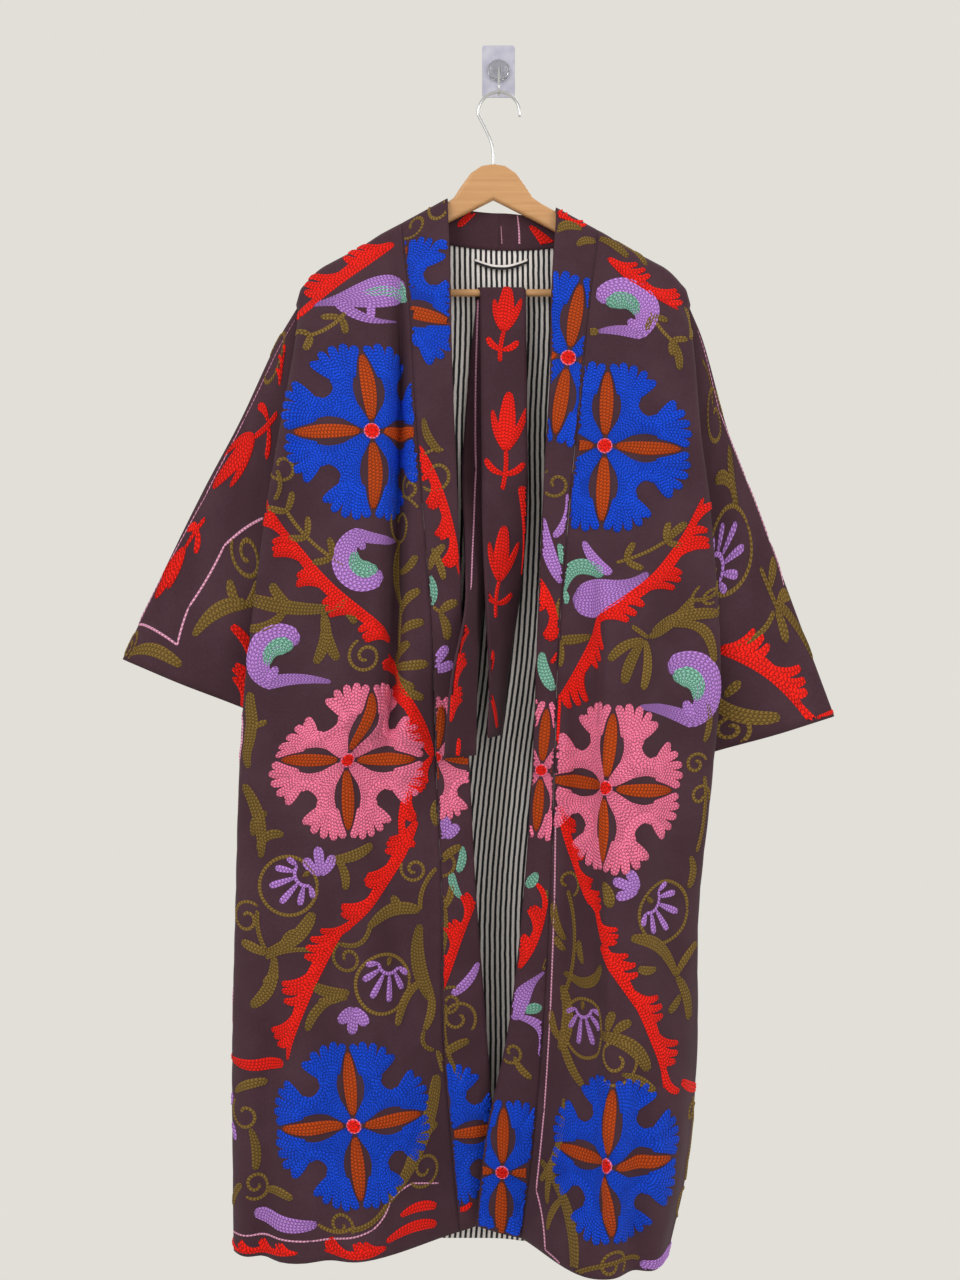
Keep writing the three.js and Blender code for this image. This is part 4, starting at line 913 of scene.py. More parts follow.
        ("vine", 632, 626, 648, 638, 0, 6, "olive"), ("leaf", 648, 637, 694, 597, -0.16, 14, "olive"),
        ("leaf", 652, 633, 720, 614, 0.1, 17, "olive"), ("leaf", 668, 626, 714, 663, 0.3, 13, "olive"),
        ("leaf", 644, 640, 610, 661, -0.12, 13, "olive"), ("leaf", 644, 640, 625, 684, -0.08, 14, "olive"),
        ("leaf", 645, 640, 643, 690, 0.08, 13, "olive"), ("curl", 700, 586, 712, 599, 1.5, 5, "olive"),
        ("vine", 694, 600, 716, 580, -0.3, 6, "olive"), ("paisley", 640, 707, 681, 690, -1, 39, "lilac"),
        ("curl", 706, 760, 696, 764, 1.3, 5, "olive"), ("vine", 704, 776, 696, 852, 0.08, 6, "olive"),
        ("curl", 708, 800, 700, 796, 1.1, 5, "olive"), ("leaf", 706, 700, 704, 742, 0.1, 9, "olive"),
        ("rosette", 606, 788, 83, 5, 0, 0, "pink"), ("barb", 560, 804, 590, 905, -0.04, 22, "red"),
        ("barb", 582, 884, 612, 962, 0.05, 25, "red"), ("barb", 602, 945, 640, 1012, 0.04, 28, "red"),
        ("barb", 630, 990, 664, 1088, 0.08, 30, "red"), ("seed_ring", 662, 912, -24, -18, 0, 0, "olive"),
        ("trefoil", 638, 890, 616, 881, 0, 13, "lilac"), ("leaf", 604, 882, 610, 908, 0.1, 15, "olive"),
        ("leaf", 690, 856, 688, 888, 0.15, 12, "olive"), ("leaf", 676, 976, 631, 938, -0.15, 16, "olive"),
        ("leaf", 656, 968, 638, 968, 0.1, 11, "olive"), ("leaf", 676, 976, 696, 942, 0.1, 12, "olive"),
        ("leaf", 676, 976, 688, 1020, 0.08, 15, "olive"), ("leaf", 680, 994, 668, 1012, 0.1, 11, "olive"),
        ("curl", 574, 896, 568, 882, 0.9, 5, "olive"), ("vine", 568, 890, 562, 1000, 0.1, 6, "olive"),
        ("leaf", 566, 940, 554, 902, 0.1, 12, "olive"), ("leaf", 564, 972, 602, 966, -0.25, 14, "olive"),
        ("leaf", 584, 964, 580, 940, 0.1, 11, "olive"), ("leaf", 566, 950, 556, 936, 0.1, 10, "olive"),
        ("seed_ring", 585, 1028, -4, -28, 0, 0, "olive"), ("leaf", 562, 985, 560, 1050, 0.12, 17, "olive"),
        ("leaf", 560, 1030, 584, 1086, -0.1, 13, "olive"), ("leaf", 560, 1040, 552, 1010, 0.1, 11, "olive"),
        ("leaf", 602, 1034, 648, 1071, 0.2, 18, "olive"), ("leaf", 608, 1032, 615, 1012, 0.1, 12, "olive"),
        ("leaf", 614, 1034, 632, 1022, 0.1, 12, "olive"), ("curl", 604, 1078, 616, 1060, 1.5, 5, "olive"),
        ("leaf", 622, 1074, 655, 1092, 0.05, 11, "olive"), ("rosette", 607, 1166, 81, -2, 0, 0, "blue"),
        ("leaf", 700, 1084, 681, 1081, 0.06, 12, "red"), ("curl", 698, 1120, 690, 1112, 1.2, 5, "olive"),
        ("vine", 692, 1096, 684, 1180, 0.1, 5, "olive"), ("curl", 692, 1212, 682, 1204, 1.3, 5, "olive"),
        ("leaf", 640, 1262, 678, 1230, -0.1, 20, "lilac"), ("leaf", 564, 1098, 541, 1180, 0.12, 12, "olive"),
        ("leaf", 541, 1160, 574, 1276, 0.16, 18, "olive"), ("leaf", 548, 1204, 560, 1150, 0.1, 13, "olive"),
        ("leaf", 548, 1230, 562, 1200, 0.1, 11, "olive"), ("curl", 622, 1272, 612, 1266, 1.2, 5, "olive"),
        ("vine", 574, 1274, 640, 1258, 0.12, 6, "olive"), ("vine", 556, 812, 555, 900, 0, 2.6, "rose"),
        ("vine", 555, 900, 551, 1010, 0, 2.6, "rose"), ("vine", 551, 1010, 545, 1110, 0, 2.6, "rose"),
        ("vine", 545, 1110, 537, 1190, 0, 2.6, "rose"), ("vine", 537, 1190, 546, 1250, 0.05, 2.6, "rose"),
        ("vine", 546, 1250, 580, 1284, 0.05, 2.6, "rose"),
    ],
    "right_neckband_inside": [
        ("leaf", 480, 208, 458, 228, 0.1, 11, "red"),
    ],
    "left_neckband_inside": [
        ("vine", 500, 210, 502, 254, 0, 2.6, "rose"), ("vine", 517, 212, 519, 254, 0, 2.6, "rose"),
        ("leaf", 530, 226, 556, 262, -0.08, 16, "red"),
    ],
    "left_neckband": [
        ("barb", 548, 210, 582, 228, 0.08, 15, "red"), ("leaf", 556, 232, 582, 229, 0.12, 12, "olive"),
        ("leaf", 577, 246, 598, 243, 0.12, 11, "olive"), ("rosette", 568, 358, 89, 15, 0, 0, "blue"),
        ("curl", 548, 470, 556, 484, 1.3, 5, "olive"), ("leaf", 567, 494, 553, 537, 0.16, 12, "lilac"),
        ("leaf", 543, 518, 562, 583, -0.06, 17, "lilac"), ("leaf", 558, 544, 562, 564, 0.1, 11, "mint"),
        ("leaf", 562, 596, 560, 620, -0.1, 10, "olive"), ("barb_right", 537, 576, 562, 650, 0.04, 24, "red"),
        ("leaf", 542, 652, 554, 690, -0.1, 16, "mint"), ("rosette", 541, 770, 70, 6, 0, 0, "pink"),
        ("leaf", 536, 872, 526, 886, 0.1, 14, "mint"), ("barb", 519, 968, 547, 897, -0.04, 24, "red"),
        ("vine", 546, 890, 543, 970, 0.1, 6, "olive"), ("comma", 544, 972, 514, 1020, -0.1, 24, "lilac"),
        ("leaf", 516, 1016, 540, 1056, 0.35, 14, "lilac"), ("leaf", 524, 1012, 542, 1008, 0.1, 14, "mint"),
        ("curl", 500, 1046, 512, 1052, 1.2, 5, "olive"), ("leaf", 514, 1056, 532, 1078, -0.1, 10, "olive"),
        ("rosette", 502, 1172, 76, 2, 0, 0, "blue"),
    ],
    "right_sleeve": [
        ("vine", 303, 330, 250, 430, 0.02, 2.6, "rose"), ("vine", 250, 430, 213, 508, 0.0, 2.6, "rose"),
        ("vine", 213, 508, 140, 626, 0.0, 2.6, "rose"), ("vine", 140, 626, 190, 652, 0.03, 2.6, "rose"),
        ("vine", 190, 652, 201, 616, 0.03, 2.6, "rose"), ("vine", 201, 616, 233, 556, -0.02, 2.6, "rose"),
        ("vine", 233, 556, 266, 522, 0.02, 2.6, "rose"), ("tulip", 283, 428, 221, 498, 0.04, 30, "red"),
        ("tulip", 217, 532, 164, 604, -0.04, 30, "red"), ("barb", 286, 404, 292, 366, 0.04, 15, "red"),
        ("curl", 140, 664, 137, 650, 1.5, 5, "olive"), ("leaf", 140, 660, 192, 671, 0.1, 12, "olive"),
        ("leaf", 203, 642, 246, 602, 0.1, 13, "olive"), ("leaf", 240, 610, 235, 584, 0.1, 12, "olive"),
        ("leaf", 244, 604, 256, 578, -0.1, 11, "olive"), ("barb", 232, 704, 245, 636, -0.05, 26, "red"),
        ("barb", 186, 688, 150, 674, 0.1, 13, "red"), ("barb", 216, 700, 186, 690, 0.1, 12, "red"),
        ("curl", 240, 548, 250, 558, 1.4, 5, "olive"), ("curl", 272, 362, 266, 350, 0.8, 5, "olive"),
    ],
    "left_sleeve": [
        ("vine", 694, 342, 714, 424, -0.01, 2.6, "rose"), ("vine", 714, 424, 746, 480, 0.04, 2.6, "rose"),
        ("vine", 746, 480, 766, 544, 0.0, 2.6, "rose"), ("vine", 766, 544, 788, 580, 0.0, 2.6, "rose"),
        ("curl", 720, 428, 709, 436, 1.4, 5, "olive"), ("vine", 696, 378, 706, 424, 0.25, 5, "olive"),
        ("leaf", 728, 526, 724, 458, 0.12, 14, "olive"), ("leaf", 726, 512, 708, 496, -0.2, 13, "olive"),
        ("seed_ring", 722, 560, -27, 0, 0, 0, "olive"), ("leaf", 757, 600, 769, 566, 0.08, 12, "olive"),
        ("leaf", 764, 616, 785, 600, 0.1, 12, "olive"), ("leaf", 762, 614, 810, 661, 0.06, 15, "olive"),
        ("leaf", 762, 620, 771, 652, 0.1, 13, "olive"), ("vine", 764, 620, 748, 580, 0, 6, "olive"),
        ("vine", 760, 622, 732, 647, 0.15, 6, "olive"), ("barb", 720, 648, 794, 730, 0.08, 28, "red"),
        ("leaf", 718, 690, 768, 721, -0.18, 15, "olive"), ("leaf", 728, 696, 738, 684, 0.1, 11, "olive"),
        ("curl", 742, 742, 734, 728, 1.5, 5, "olive"), ("leaf", 728, 746, 768, 738, -0.15, 10, "olive"),
        ("leaf", 800, 724, 833, 713, -0.05, 11, "red"),
    ],
    "sash": [
        ("tulip", 500, 362, 508, 286, 0.04, 30, "red"), ("tulip", 502, 490, 511, 392, -0.04, 30, "red"),
        ("tulip", 495, 618, 506, 526, 0.05, 30, "red"), ("leaf", 522, 576, 521, 486, -0.06, 16, "red"),
        ("leaf", 492, 650, 489, 672, 0.1, 10, "red"), ("leaf", 488, 690, 496, 728, 0.05, 10, "red"),
    ],
    "sash_back": [
        ("vine", 478, 300, 476, 470, 0, 2.6, "rose"), ("vine", 476, 470, 470, 590, 0, 2.6, "rose"),
        ("barb", 450, 722, 461, 622, 0.05, 24, "red"), ("leaf", 456, 760, 458, 738, 0.05, 9, "red"),
    ],
}

# ------------------------------------------------------------------------------------------------------------
# Settings that a user would change

def linear(code):
    """Linear red, green, blue from an sRGB hex colour: v / 12.92 below 0.04045, else ((v + 0.055) / 1.055)^2.4."""
    v = np.array([int(code[i:i + 2], 16) for i in (1, 3, 5)]) / 255
    return tuple(np.where(v <= 0.04045, v / 12.92, ((v + 0.055) / 1.055) ** 2.4).tolist())


ROW = 4.0  # width of one row of chain stitch, drawn about twice as wide as the real row, so that it shows


def colour_setting(name, code, about):
    return FloatVectorProperty(name=name, description=about, subtype="COLOR", size=3, min=0, max=1,
                               default=linear(code))


class ClothSettings(PropertyGroup):
    ground: colour_setting("Ground", "#3c1d2a", "Colour of the woven cotton")
    ground_worn: colour_setting("Ground, worn", "#482936",
                                "Colour of the cotton where it is rubbed on its folds")
    stripe_dark: colour_setting("Dark stripe", "#1b191f", "Dark stripe of the lining")
    stripe_pale: colour_setting("Pale stripe", "#ece6e4", "Pale stripe of the lining")
    stripe: FloatProperty(name="Stripe repeat",
                          description="Width of a dark and a pale stripe together, in millimetres",
                          default=6.6, min=2, max=40)
    thick: FloatProperty(name="Thickness",
                         description="Thickness of the cotton with its lining, in millimetres",
                         default=CLOTH, min=0.5, max=3)
    hem: FloatProperty(name="Hem", description="Depth of the turned-up hem, in millimetres", default=14,
                       min=0, max=60)


class ThreadSettings(PropertyGroup):
    blue: colour_setting("Blue", "#0048dc", "Large rosettes")
    pink: colour_setting("Pink", "#ff80a6", "Middle rosettes")
    rust: colour_setting("Rust", "#c04600", "Almond petals")
    red: colour_setting("Red", "#f81a08", "Feathered leaves and buds")
    lilac: colour_setting("Lilac", "#bc84dc", "Paisleys and seeds")
    mint: colour_setting("Mint", "#80bca8", "Inner leaves")
    olive: colour_setting("Olive", "#80642c", "Vines")
    rose: colour_setting("Rose line", "#eaa6c6", "Single lines of chain stitch")
    relief: FloatProperty(name="Relief", description="Height of a row above the cloth, in millimetres",
                          default=1.5,
                          min=0.2, max=3)
    stitch: FloatProperty(name="Stitch", description="Length of one chain stitch, in millimetres",
                          default=4.2, min=2,
                          max=10)
    step: FloatProperty(name="Step", description="Length of one face along a row, in millimetres",
                        default=5.5, min=1,
                        max=10)
    margin: FloatProperty(name="Margin", description="Bare edge of each piece, in millimetres", default=1.2,
                          min=0,
                          max=10)
    seed: IntProperty(name="Seed", description="Seed of the small differences between strokes", default=7,
                      min=0)


class HangerSettings(PropertyGroup):
    wood: colour_setting("Wood", "#cf9c68", "Lacquered beech")
    wood_dark: colour_setting("Wood grain", "#b88450", "Grain of the beech")
    hook_wire: FloatProperty(name="Hook wire", description="Diameter of the hanger's hook", default=0.004,
                             min=0.002,
                             max=0.006, unit="LENGTH", subtype="DISTANCE")
    wall_wire: FloatProperty(name="Wall hook wire", description="Diameter of the wall hook's wire",
                             default=0.003,
                             min=0.002, max=0.005, unit="LENGTH", subtype="DISTANCE")


SETTINGS = {"robe_cloth": ClothSettings, "robe_thread": ThreadSettings, "robe_hanger": HangerSettings}

# ------------------------------------------------------------------------------------------------------------
# Materials

def node(tree, kind, settings=None, **links):
    """Add a node, set its values, and link its inputs. A link is (node, output); anything else is a value."""
    made = tree.nodes.new(kind)
    for key, value in (settings or {}).items():
        setattr(made, key, value)
    for key, value in links.items():
        key = key.replace("_", " ")
        socket = made.inputs[int(key[2:])] if key.startswith("in") and key[2:].strip().isdigit() else made.inputs[key]
        if isinstance(value, tuple) and hasattr(value[0], "outputs"):
            tree.links.new(value[0].outputs[value[1]], socket)
        else:
            socket.default_value = value
    return made


def start(name):
    material = bpy.data.materials.new(name)
    material.use_nodes = True
    tree = material.node_tree
    tree.nodes.clear()
    return material, tree


def finish(tree, shader):
    node(tree, "ShaderNodeOutputMaterial", Surface=(shader, 0))


def rgba(colour):
    return (*colour, 1.0)


def maths(tree, operation, a, b=0.0):
    return node(tree, "ShaderNodeMath", {"operation": operation}, in0=a, in1=b)


def mixed(tree, share, a, b, blend="MIX"):
    """A colour mix: share from 0 (a) to 1 (b)."""
    made = node(tree, "ShaderNodeMix", {"data_type": "RGBA", "blend_type": blend})
    for index, value in ((0, share), (6, a), (7, b)):
        if isinstance(value, tuple) and hasattr(value[0], "outputs"):
            tree.links.new(value[0].outputs[value[1]], made.inputs[index])
        else:
            made.inputs[index].default_value = value
    return made


def woven_cotton(cloth):
    """Plain-woven heavy cotton, dyed aubergine: dull, a little fuzzy, paler where folds have been rubbed. Its threads
    lie 0.6 mm apart and are drawn 1.8 mm apart, because finer ones would not show."""
    material, tree = start("aubergine woven cotton")
    place = node(tree, "ShaderNodeUVMap", {"uv_map": "cloth_mm"})
    parts = node(tree, "ShaderNodeSeparateXYZ", Vector=(place, 0))
    warp = maths(tree, "SINE", (maths(tree, "MULTIPLY", (parts, 0), 2 * math.pi / 1.8), 0))
    weft = maths(tree, "SINE", (maths(tree, "MULTIPLY", (parts, 1), 2 * math.pi / 1.8), 0))
    weave = maths(tree, "MULTIPLY", (warp, 0), (weft, 0))
    worn = node(tree, "ShaderNodeTexNoise", None, Vector=(place, 0), Scale=0.011, Detail=4.0, Roughness=0.6)
    slub = node(tree, "ShaderNodeTexNoise", None, Vector=(place, 0), Scale=0.35, Detail=3.0, Roughness=0.7)
    share = node(tree, "ShaderNodeMapRange", None, Value=(worn, 0), From_Min=0.42, From_Max=0.72)
    base = mixed(tree, (share, 0), rgba(cloth.ground), rgba(cloth.ground_worn))
    grain = node(tree, "ShaderNodeMapRange", None, Value=(slub, 0), From_Min=0.3, From_Max=0.7, To_Min=0.80,
                 To_Max=1.14)
    toned = mixed(tree, 1.0, (base, 2), (grain, 0), "MULTIPLY")
    height = maths(tree, "ADD", (maths(tree, "MULTIPLY", (weave, 0), 0.12), 0), (slub, 0))
    bump = node(tree, "ShaderNodeBump", None, Strength=0.35, Distance=0.0006, Height=(height, 0))
    shader = node(tree, "ShaderNodeBsdfPrincipled", None, Base_Color=(toned, 2), Roughness=0.88,
                  Sheen_Weight=0.03,
                  Sheen_Roughness=0.45, Normal=(bump, 0))
    finish(tree, shader)
    return material


def chain_stitch(thread):
    """Six-ply mercerised cotton thread in rows of chain stitch: each stitch is a loop, so a row looks like a plait of
    V shapes with a soft shine. Its colour carries painted shade in the grooves between rows and loops, and a painted
    highlight on the loops' crests, both taken from the bump's height. The map counts stitches along and rows across."""
    material, tree = start("chain-stitched cotton thread")
    place = node(tree, "ShaderNodeUVMap", {"uv_map": "cloth_mm"})
    parts = node(tree, "ShaderNodeSeparateXYZ", Vector=(place, 0))
    across = maths(tree, "PINGPONG", (parts, 1), 0.5)
    lean = maths(tree, "MULTIPLY", (across, 0), 1.1)
    start_at = node(tree, "ShaderNodeTexWhiteNoise", {"noise_dimensions": "1D"},
                    W=(maths(tree, "FLOOR", (parts, 1)), 0))
    run = maths(tree, "ADD", (parts, 0), (start_at, 0))
    along = maths(tree, "PINGPONG", (maths(tree, "ADD", (run, 0), (lean, 0)), 0), 0.5)
    loop = node(tree, "ShaderNodeMapRange", {"interpolation_type": "SMOOTHSTEP"}, Value=(along, 0),
                From_Min=0.0,
                From_Max=0.30)
    fibre = node(tree, "ShaderNodeTexNoise", None, Vector=(place, 0), Scale=3.2, Detail=2.0)
    groove = node(tree, "ShaderNodeMapRange", {"interpolation_type": "SMOOTHSTEP"}, Value=(across, 0),
                  From_Min=0.0,
                  From_Max=0.24, To_Min=0.25)
    lump = maths(tree, "MULTIPLY", (loop, 0), (groove, 0))
    height = maths(tree, "ADD", (lump, 0), (maths(tree, "MULTIPLY", (fibre, 0), 0.3), 0))
    tint = node(tree, "ShaderNodeAttribute", {"attribute_name": "thread"})
    # Painted shade and painted highlight: the thread's colour is multiplied by the bump's height, darker (0.42) in the
    # grooves and brighter than the thread itself (1.14) on the loops' crests.
    painted_groove_shade_and_crest_highlight = node(tree, "ShaderNodeMapRange", None, Value=(height, 0), From_Min=0.1, From_Max=1.1, To_Min=0.42,
                To_Max=1.14)
    toned = mixed(tree, 1.0, (tint, 0), (painted_groove_shade_and_crest_highlight, 0), "MULTIPLY")
    bump = node(tree, "ShaderNodeBump", None, Strength=0.9, Distance=0.0011, Height=(height, 0))
    shader = node(tree, "ShaderNodeBsdfPrincipled", None, Base_Color=(toned, 2), Roughness=0.72,
                  Specular_IOR_Level=0.25, Sheen_Weight=0.02, Sheen_Roughness=0.4, Normal=(bump, 0))
    finish(tree, shader)
    return material


def striped_cotton(cloth):
    """Hand-woven striped cotton lining: dull, near-black and off-white warp stripes, whose edges waver by a thread."""
    material, tree = start("striped cotton lining")
    place = node(tree, "ShaderNodeUVMap", {"uv_map": "cloth_mm"})
    parts = node(tree, "ShaderNodeSeparateXYZ", Vector=(place, 0))
    waver = node(tree, "ShaderNodeTexNoise", None, Vector=(place, 0), Scale=0.06, Detail=3.0)
    shifted = maths(tree, "ADD", (parts, 0), (maths(tree, "MULTIPLY", (waver, 0), 1.6), 0))
    cycle = maths(tree, "SINE", (maths(tree, "MULTIPLY", (shifted, 0), 2 * math.pi / cloth.stripe), 0))
    stripe = node(tree, "ShaderNodeMapRange", None, Value=(cycle, 0), From_Min=-0.22, From_Max=0.12)
    base = mixed(tree, (stripe, 0), rgba(cloth.stripe_dark), rgba(cloth.stripe_pale))
    slub = node(tree, "ShaderNodeTexNoise", None, Vector=(place, 0), Scale=0.5, Detail=3.0)
    grain = node(tree, "ShaderNodeMapRange", None, Value=(slub, 0), From_Min=0.3, From_Max=0.7, To_Min=0.86,
                 To_Max=1.05)
    toned = mixed(tree, 1.0, (base, 2), (grain, 0), "MULTIPLY")
    bump = node(tree, "ShaderNodeBump", None, Strength=0.25, Distance=0.0004, Height=(slub, 0))
    shader = node(tree, "ShaderNodeBsdfPrincipled", None, Base_Color=(toned, 2), Roughness=0.9,
                  Sheen_Weight=0.08,
                  Normal=(bump, 0))
    finish(tree, shader)
    return material


def lacquered_beech(hanger):
    """Beech, steam-bent and clear-lacquered: fine straight grain along the arms, short dark flecks, a soft gloss."""
    material, tree = start("lacquered beech")
    place = node(tree, "ShaderNodeTexCoord")
    long = node(tree, "ShaderNodeMapping", None, Vector=(place, "Object"), Scale=(9.0, 220.0, 260.0))
    grain = node(tree, "ShaderNodeTexNoise", None, Vector=(long, 0), Scale=1.0, Detail=5.0, Roughness=0.62)
    short = node(tree, "ShaderNodeMapping", None, Vector=(place, "Object"), Scale=(160.0, 900.0, 1400.0))
    fleck = node(tree, "ShaderNodeTexNoise", None, Vector=(short, 0), Scale=1.0, Detail=1.0)
    share = node(tree, "ShaderNodeMapRange", None, Value=(grain, 0), From_Min=0.36, From_Max=0.72)
    flecked = node(tree, "ShaderNodeMapRange", None, Value=(fleck, 0), From_Min=0.64, From_Max=0.74,
                   To_Max=0.55)
    total = maths(tree, "MAXIMUM", (maths(tree, "MULTIPLY", (share, 0), 0.7), 0), (flecked, 0))
    base = mixed(tree, (total, 0), rgba(hanger.wood), rgba(hanger.wood_dark))
    bump = node(tree, "ShaderNodeBump", None, Strength=0.08, Distance=0.0004, Height=(grain, 0))
    shader = node(tree, "ShaderNodeBsdfPrincipled", None, Base_Color=(base, 2), Roughness=0.42,
                  Coat_Weight=0.35,
                  Coat_Roughness=0.2, Normal=(bump, 0))
    finish(tree, shader)
    return material


def chromed_wire():
    """Steel wire, drawn and chrome-plated: a near mirror with faint drawing lines."""
    material, tree = start("chrome-plated steel wire")
    place = node(tree, "ShaderNodeTexCoord")
    smudge = node(tree, "ShaderNodeTexNoise", None, Vector=(place, "Object"), Scale=90.0, Detail=3.0)
    rough = node(tree, "ShaderNodeMapRange", None, Value=(smudge, 0), To_Min=0.12, To_Max=0.30)
    shader = node(tree, "ShaderNodeBsdfPrincipled", None, Base_Color=rgba(linear("#c9cacc")), Metallic=1.0,
                  Roughness=(rough, 0))
    finish(tree, shader)
    return material


def adhesive_film():
    """Flexible polyester film with adhesive on its back: smooth, milky lilac grey where the glue shows through."""
    material, tree = start("adhesive polyester film")
    place = node(tree, "ShaderNodeTexCoord")
    glue = node(tree, "ShaderNodeTexNoise", None, Vector=(place, "Object"), Scale=60.0, Detail=3.0)
    share = node(tree, "ShaderNodeMapRange", None, Value=(glue, 0), From_Min=0.4, From_Max=0.65)
    base = mixed(tree, (share, 0), rgba(linear("#b3b3c6")), rgba(linear("#c4c4d2")))
    rough = node(tree, "ShaderNodeMapRange", None, Value=(glue, 0), To_Min=0.22, To_Max=0.36)
    shader = node(tree, "ShaderNodeBsdfPrincipled", None, Base_Color=(base, 2), Roughness=(rough, 0), IOR=1.6)
    finish(tree, shader)
    return material


def clear_polycarbonate():
    """Clear moulded polycarbonate: glossy and see-through, with a faint grey cast and fine scratches."""
    material, tree = start("clear polycarbonate")
    place = node(tree, "ShaderNodeTexCoord")
    wear = node(tree, "ShaderNodeTexNoise", None, Vector=(place, "Object"), Scale=300.0, Detail=4.0)
    rough = node(tree, "ShaderNodeMapRange", None, Value=(wear, 0), From_Min=0.4, From_Max=0.8, To_Min=0.05,
                 To_Max=0.25)
    shader = node(tree, "ShaderNodeBsdfPrincipled", None, Base_Color=rgba(linear("#e9eaf0")),
                  Roughness=(rough, 0),
                  IOR=1.585, Transmission_Weight=0.85)
    finish(tree, shader)
    return material


def painted_floor():
    """Matt emulsion on a smooth screed: pale, plain and without gloss."""
    material, tree = start("matt pale floor")
    place = node(tree, "ShaderNodeTexCoord")
    cloud = node(tree, "ShaderNodeTexNoise", None, Vector=(place, "Object"), Scale=1.5, Detail=3.0)
    share = node(tree, "ShaderNodeMapRange", None, Value=(cloud, 0), From_Min=0.35, From_Max=0.65)
    base = mixed(tree, (share, 0), rgba(linear("#d6d5d0")), rgba(linear("#dbdad6")))
    shader = node(tree, "ShaderNodeBsdfPrincipled", None, Base_Color=(base, 2), Roughness=0.9)
    finish(tree, shader)
    return material

# ------------------------------------------------------------------------------------------------------------
# Pieces

MATERIALS = {}


def settings():
    scene = bpy.context.scene
    return scene.robe_cloth, scene.robe_thread, scene.robe_hanger


def material(name):
    """Each material is made once, from the settings as they stand."""
    cloth, thread, hanger = settings()
    makers = {
        "ground": lambda: woven_cotton(cloth), "stitches": lambda: chain_stitch(thread),
        "stripes": lambda: striped_cotton(cloth), "wood": lambda: lacquered_beech(hanger),
              "chrome": chromed_wire,
        "film": adhesive_film, "clear": clear_polycarbonate, "floor": painted_floor,
    }
    if name not in MATERIALS:
        MATERIALS[name] = makers[name]()
    return MATERIALS[name]


def thread_colours():
    thread = settings()[1]
    names = ("blue", "pink", "rust", "red", "lilac", "mint", "olive", "rose")
    return {name: tuple(getattr(thread, name)) for name in names}


# millimetres below the ridge at which the wrap has rows
WRAP_DROPS = (0, 0.25, 0.5, 1, 1.8, 3, 4.5, 7, 9.5, 14)


def body_rows(run, pitch):
    """Shares of the length at which a body piece has rows: close together over the hanger, then at an even pitch."""
    count = int((run - WRAP_DROPS[-1]) / pitch)
    rest = WRAP_DROPS[-1] + (run - WRAP_DROPS[-1]) * np.arange(1, count + 1) / count
    return np.concatenate([WRAP_DROPS, rest]) / run


def seam_normal(name, v):
    """The direction out of the cloth at the neckband's seam, shared by the band and the panel on the shoulder."""
    near = front_grid(name, v, np.array([0.04]))[:, 0] - band_grid(name, v, np.array([0.6]), np.zeros(0))[:,
                                                                                                          0]
    above = band_grid(name, np.maximum(v - 0.004, 0), np.array([1.0]), np.zeros(0))[:, 0]
    below = band_grid(name, np.minimum(v + 0.004, 1), np.array([1.0]), np.zeros(0))[:, 0]
    out = np.cross(near, below - above)
    out[:, 0] *= smooth(0, 0.02, v)
    out[v == 0] = (0, 0, -SIDE[name])
    return -SIDE[name] * out / np.linalg.norm(out, axis=-1, keepdims=True)


def declare(piece, stitches, node_name):
    """Parts of one cloth piece: it and its stitches ride on the robe, and it stands for its plain solid, which is
    hidden.
    """
    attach(piece, "root")
    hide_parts(node_name)
    for more in stitches:
        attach(more, "root")


def drawn(cloth, rows, facing=-1):
    """The strokes of a chart's motifs, found on the cloth as seen from in front."""
    strokes = []
    for row in rows:
        m = dict(zip(MOTIF_COLUMNS, row))
        p0 = cloth.find(CHART_CORNER[0] + CHART_STEP * m["x0"], CHART_CORNER[1] - CHART_STEP * m["y0"],
                        facing)
        if m["motif"] in ("rosette", "seed_ring"):
            p1 = p0 + CHART_STEP * (m["x1"] - 1j * m["y1"])
        else:
            p1 = cloth.find(CHART_CORNER[0] + CHART_STEP * m["x1"], CHART_CORNER[1] - CHART_STEP * m["y1"],
                            facing)
        strokes += MOTIFS[m["motif"]](p0, p1, m["bend"], m["width"], m["thread"])
    return strokes


def mirrored(strokes, shift):
    """The same strokes turned over left to right, and moved."""
    return [(shift - np.conj(spine), widths, rows, thread, level) for spine, widths, rows, thread, level
            in strokes]


# distance from the middle of the line from which the fronts and the neckband are measured across
GRAIN = 170.0


def front_cloth(name):
    v, u = body_rows(1245.0, 8.0), np.linspace(0, 1, 73)
    grid = front_grid(name, v, np.where(u == 0, SEAM / 320, u))
    return Cloth(grid, name == "left", SIDE[name], v, level=1.0, lead=np.abs(grid[:, 0, 0]) - GRAIN)


def band_cloth(name):
    v = body_rows(1245.0, 8.0)
    k = np.concatenate([np.linspace(1, BAND_TURN, 22)[:-1], BAND_TURN
                        * (1 - np.sin(np.linspace(0, 1, 10) * np.pi / 2))])[:-1]
    grid = band_grid(name, v, np.linspace(0, 1, 13), k)
    pull = grid[:, -2] - grid[:, -1]
    pull = pull / np.linalg.norm(pull, axis=-1, keepdims=True) * SEAM / 2
    lap = np.concatenate([smooth(BAND_TURN, 0.5, k), 0 * v])[:, None]
    grid[:, -1] += pull * (1 - lap) + np.array([0, -BAND_LAP / 4, -BAND_LAP]) * lap
    grid[0, :, 0] += SIDE[name] * 0.02
    level = np.concatenate([0 * k, smooth(0, 0.06, v)])
    lead = SIDE[name] * grid[np.maximum(np.arange(len(grid)), len(k)), 0, 0] - GRAIN
    return Cloth(grid, name == "left", SIDE[name], np.concatenate([0 * k - 1, v]), level=level,
                 lead=lead), len(k)


BAND_LAP = 2.0  # how far the neckband's free edge laps over the back panel's on the inside


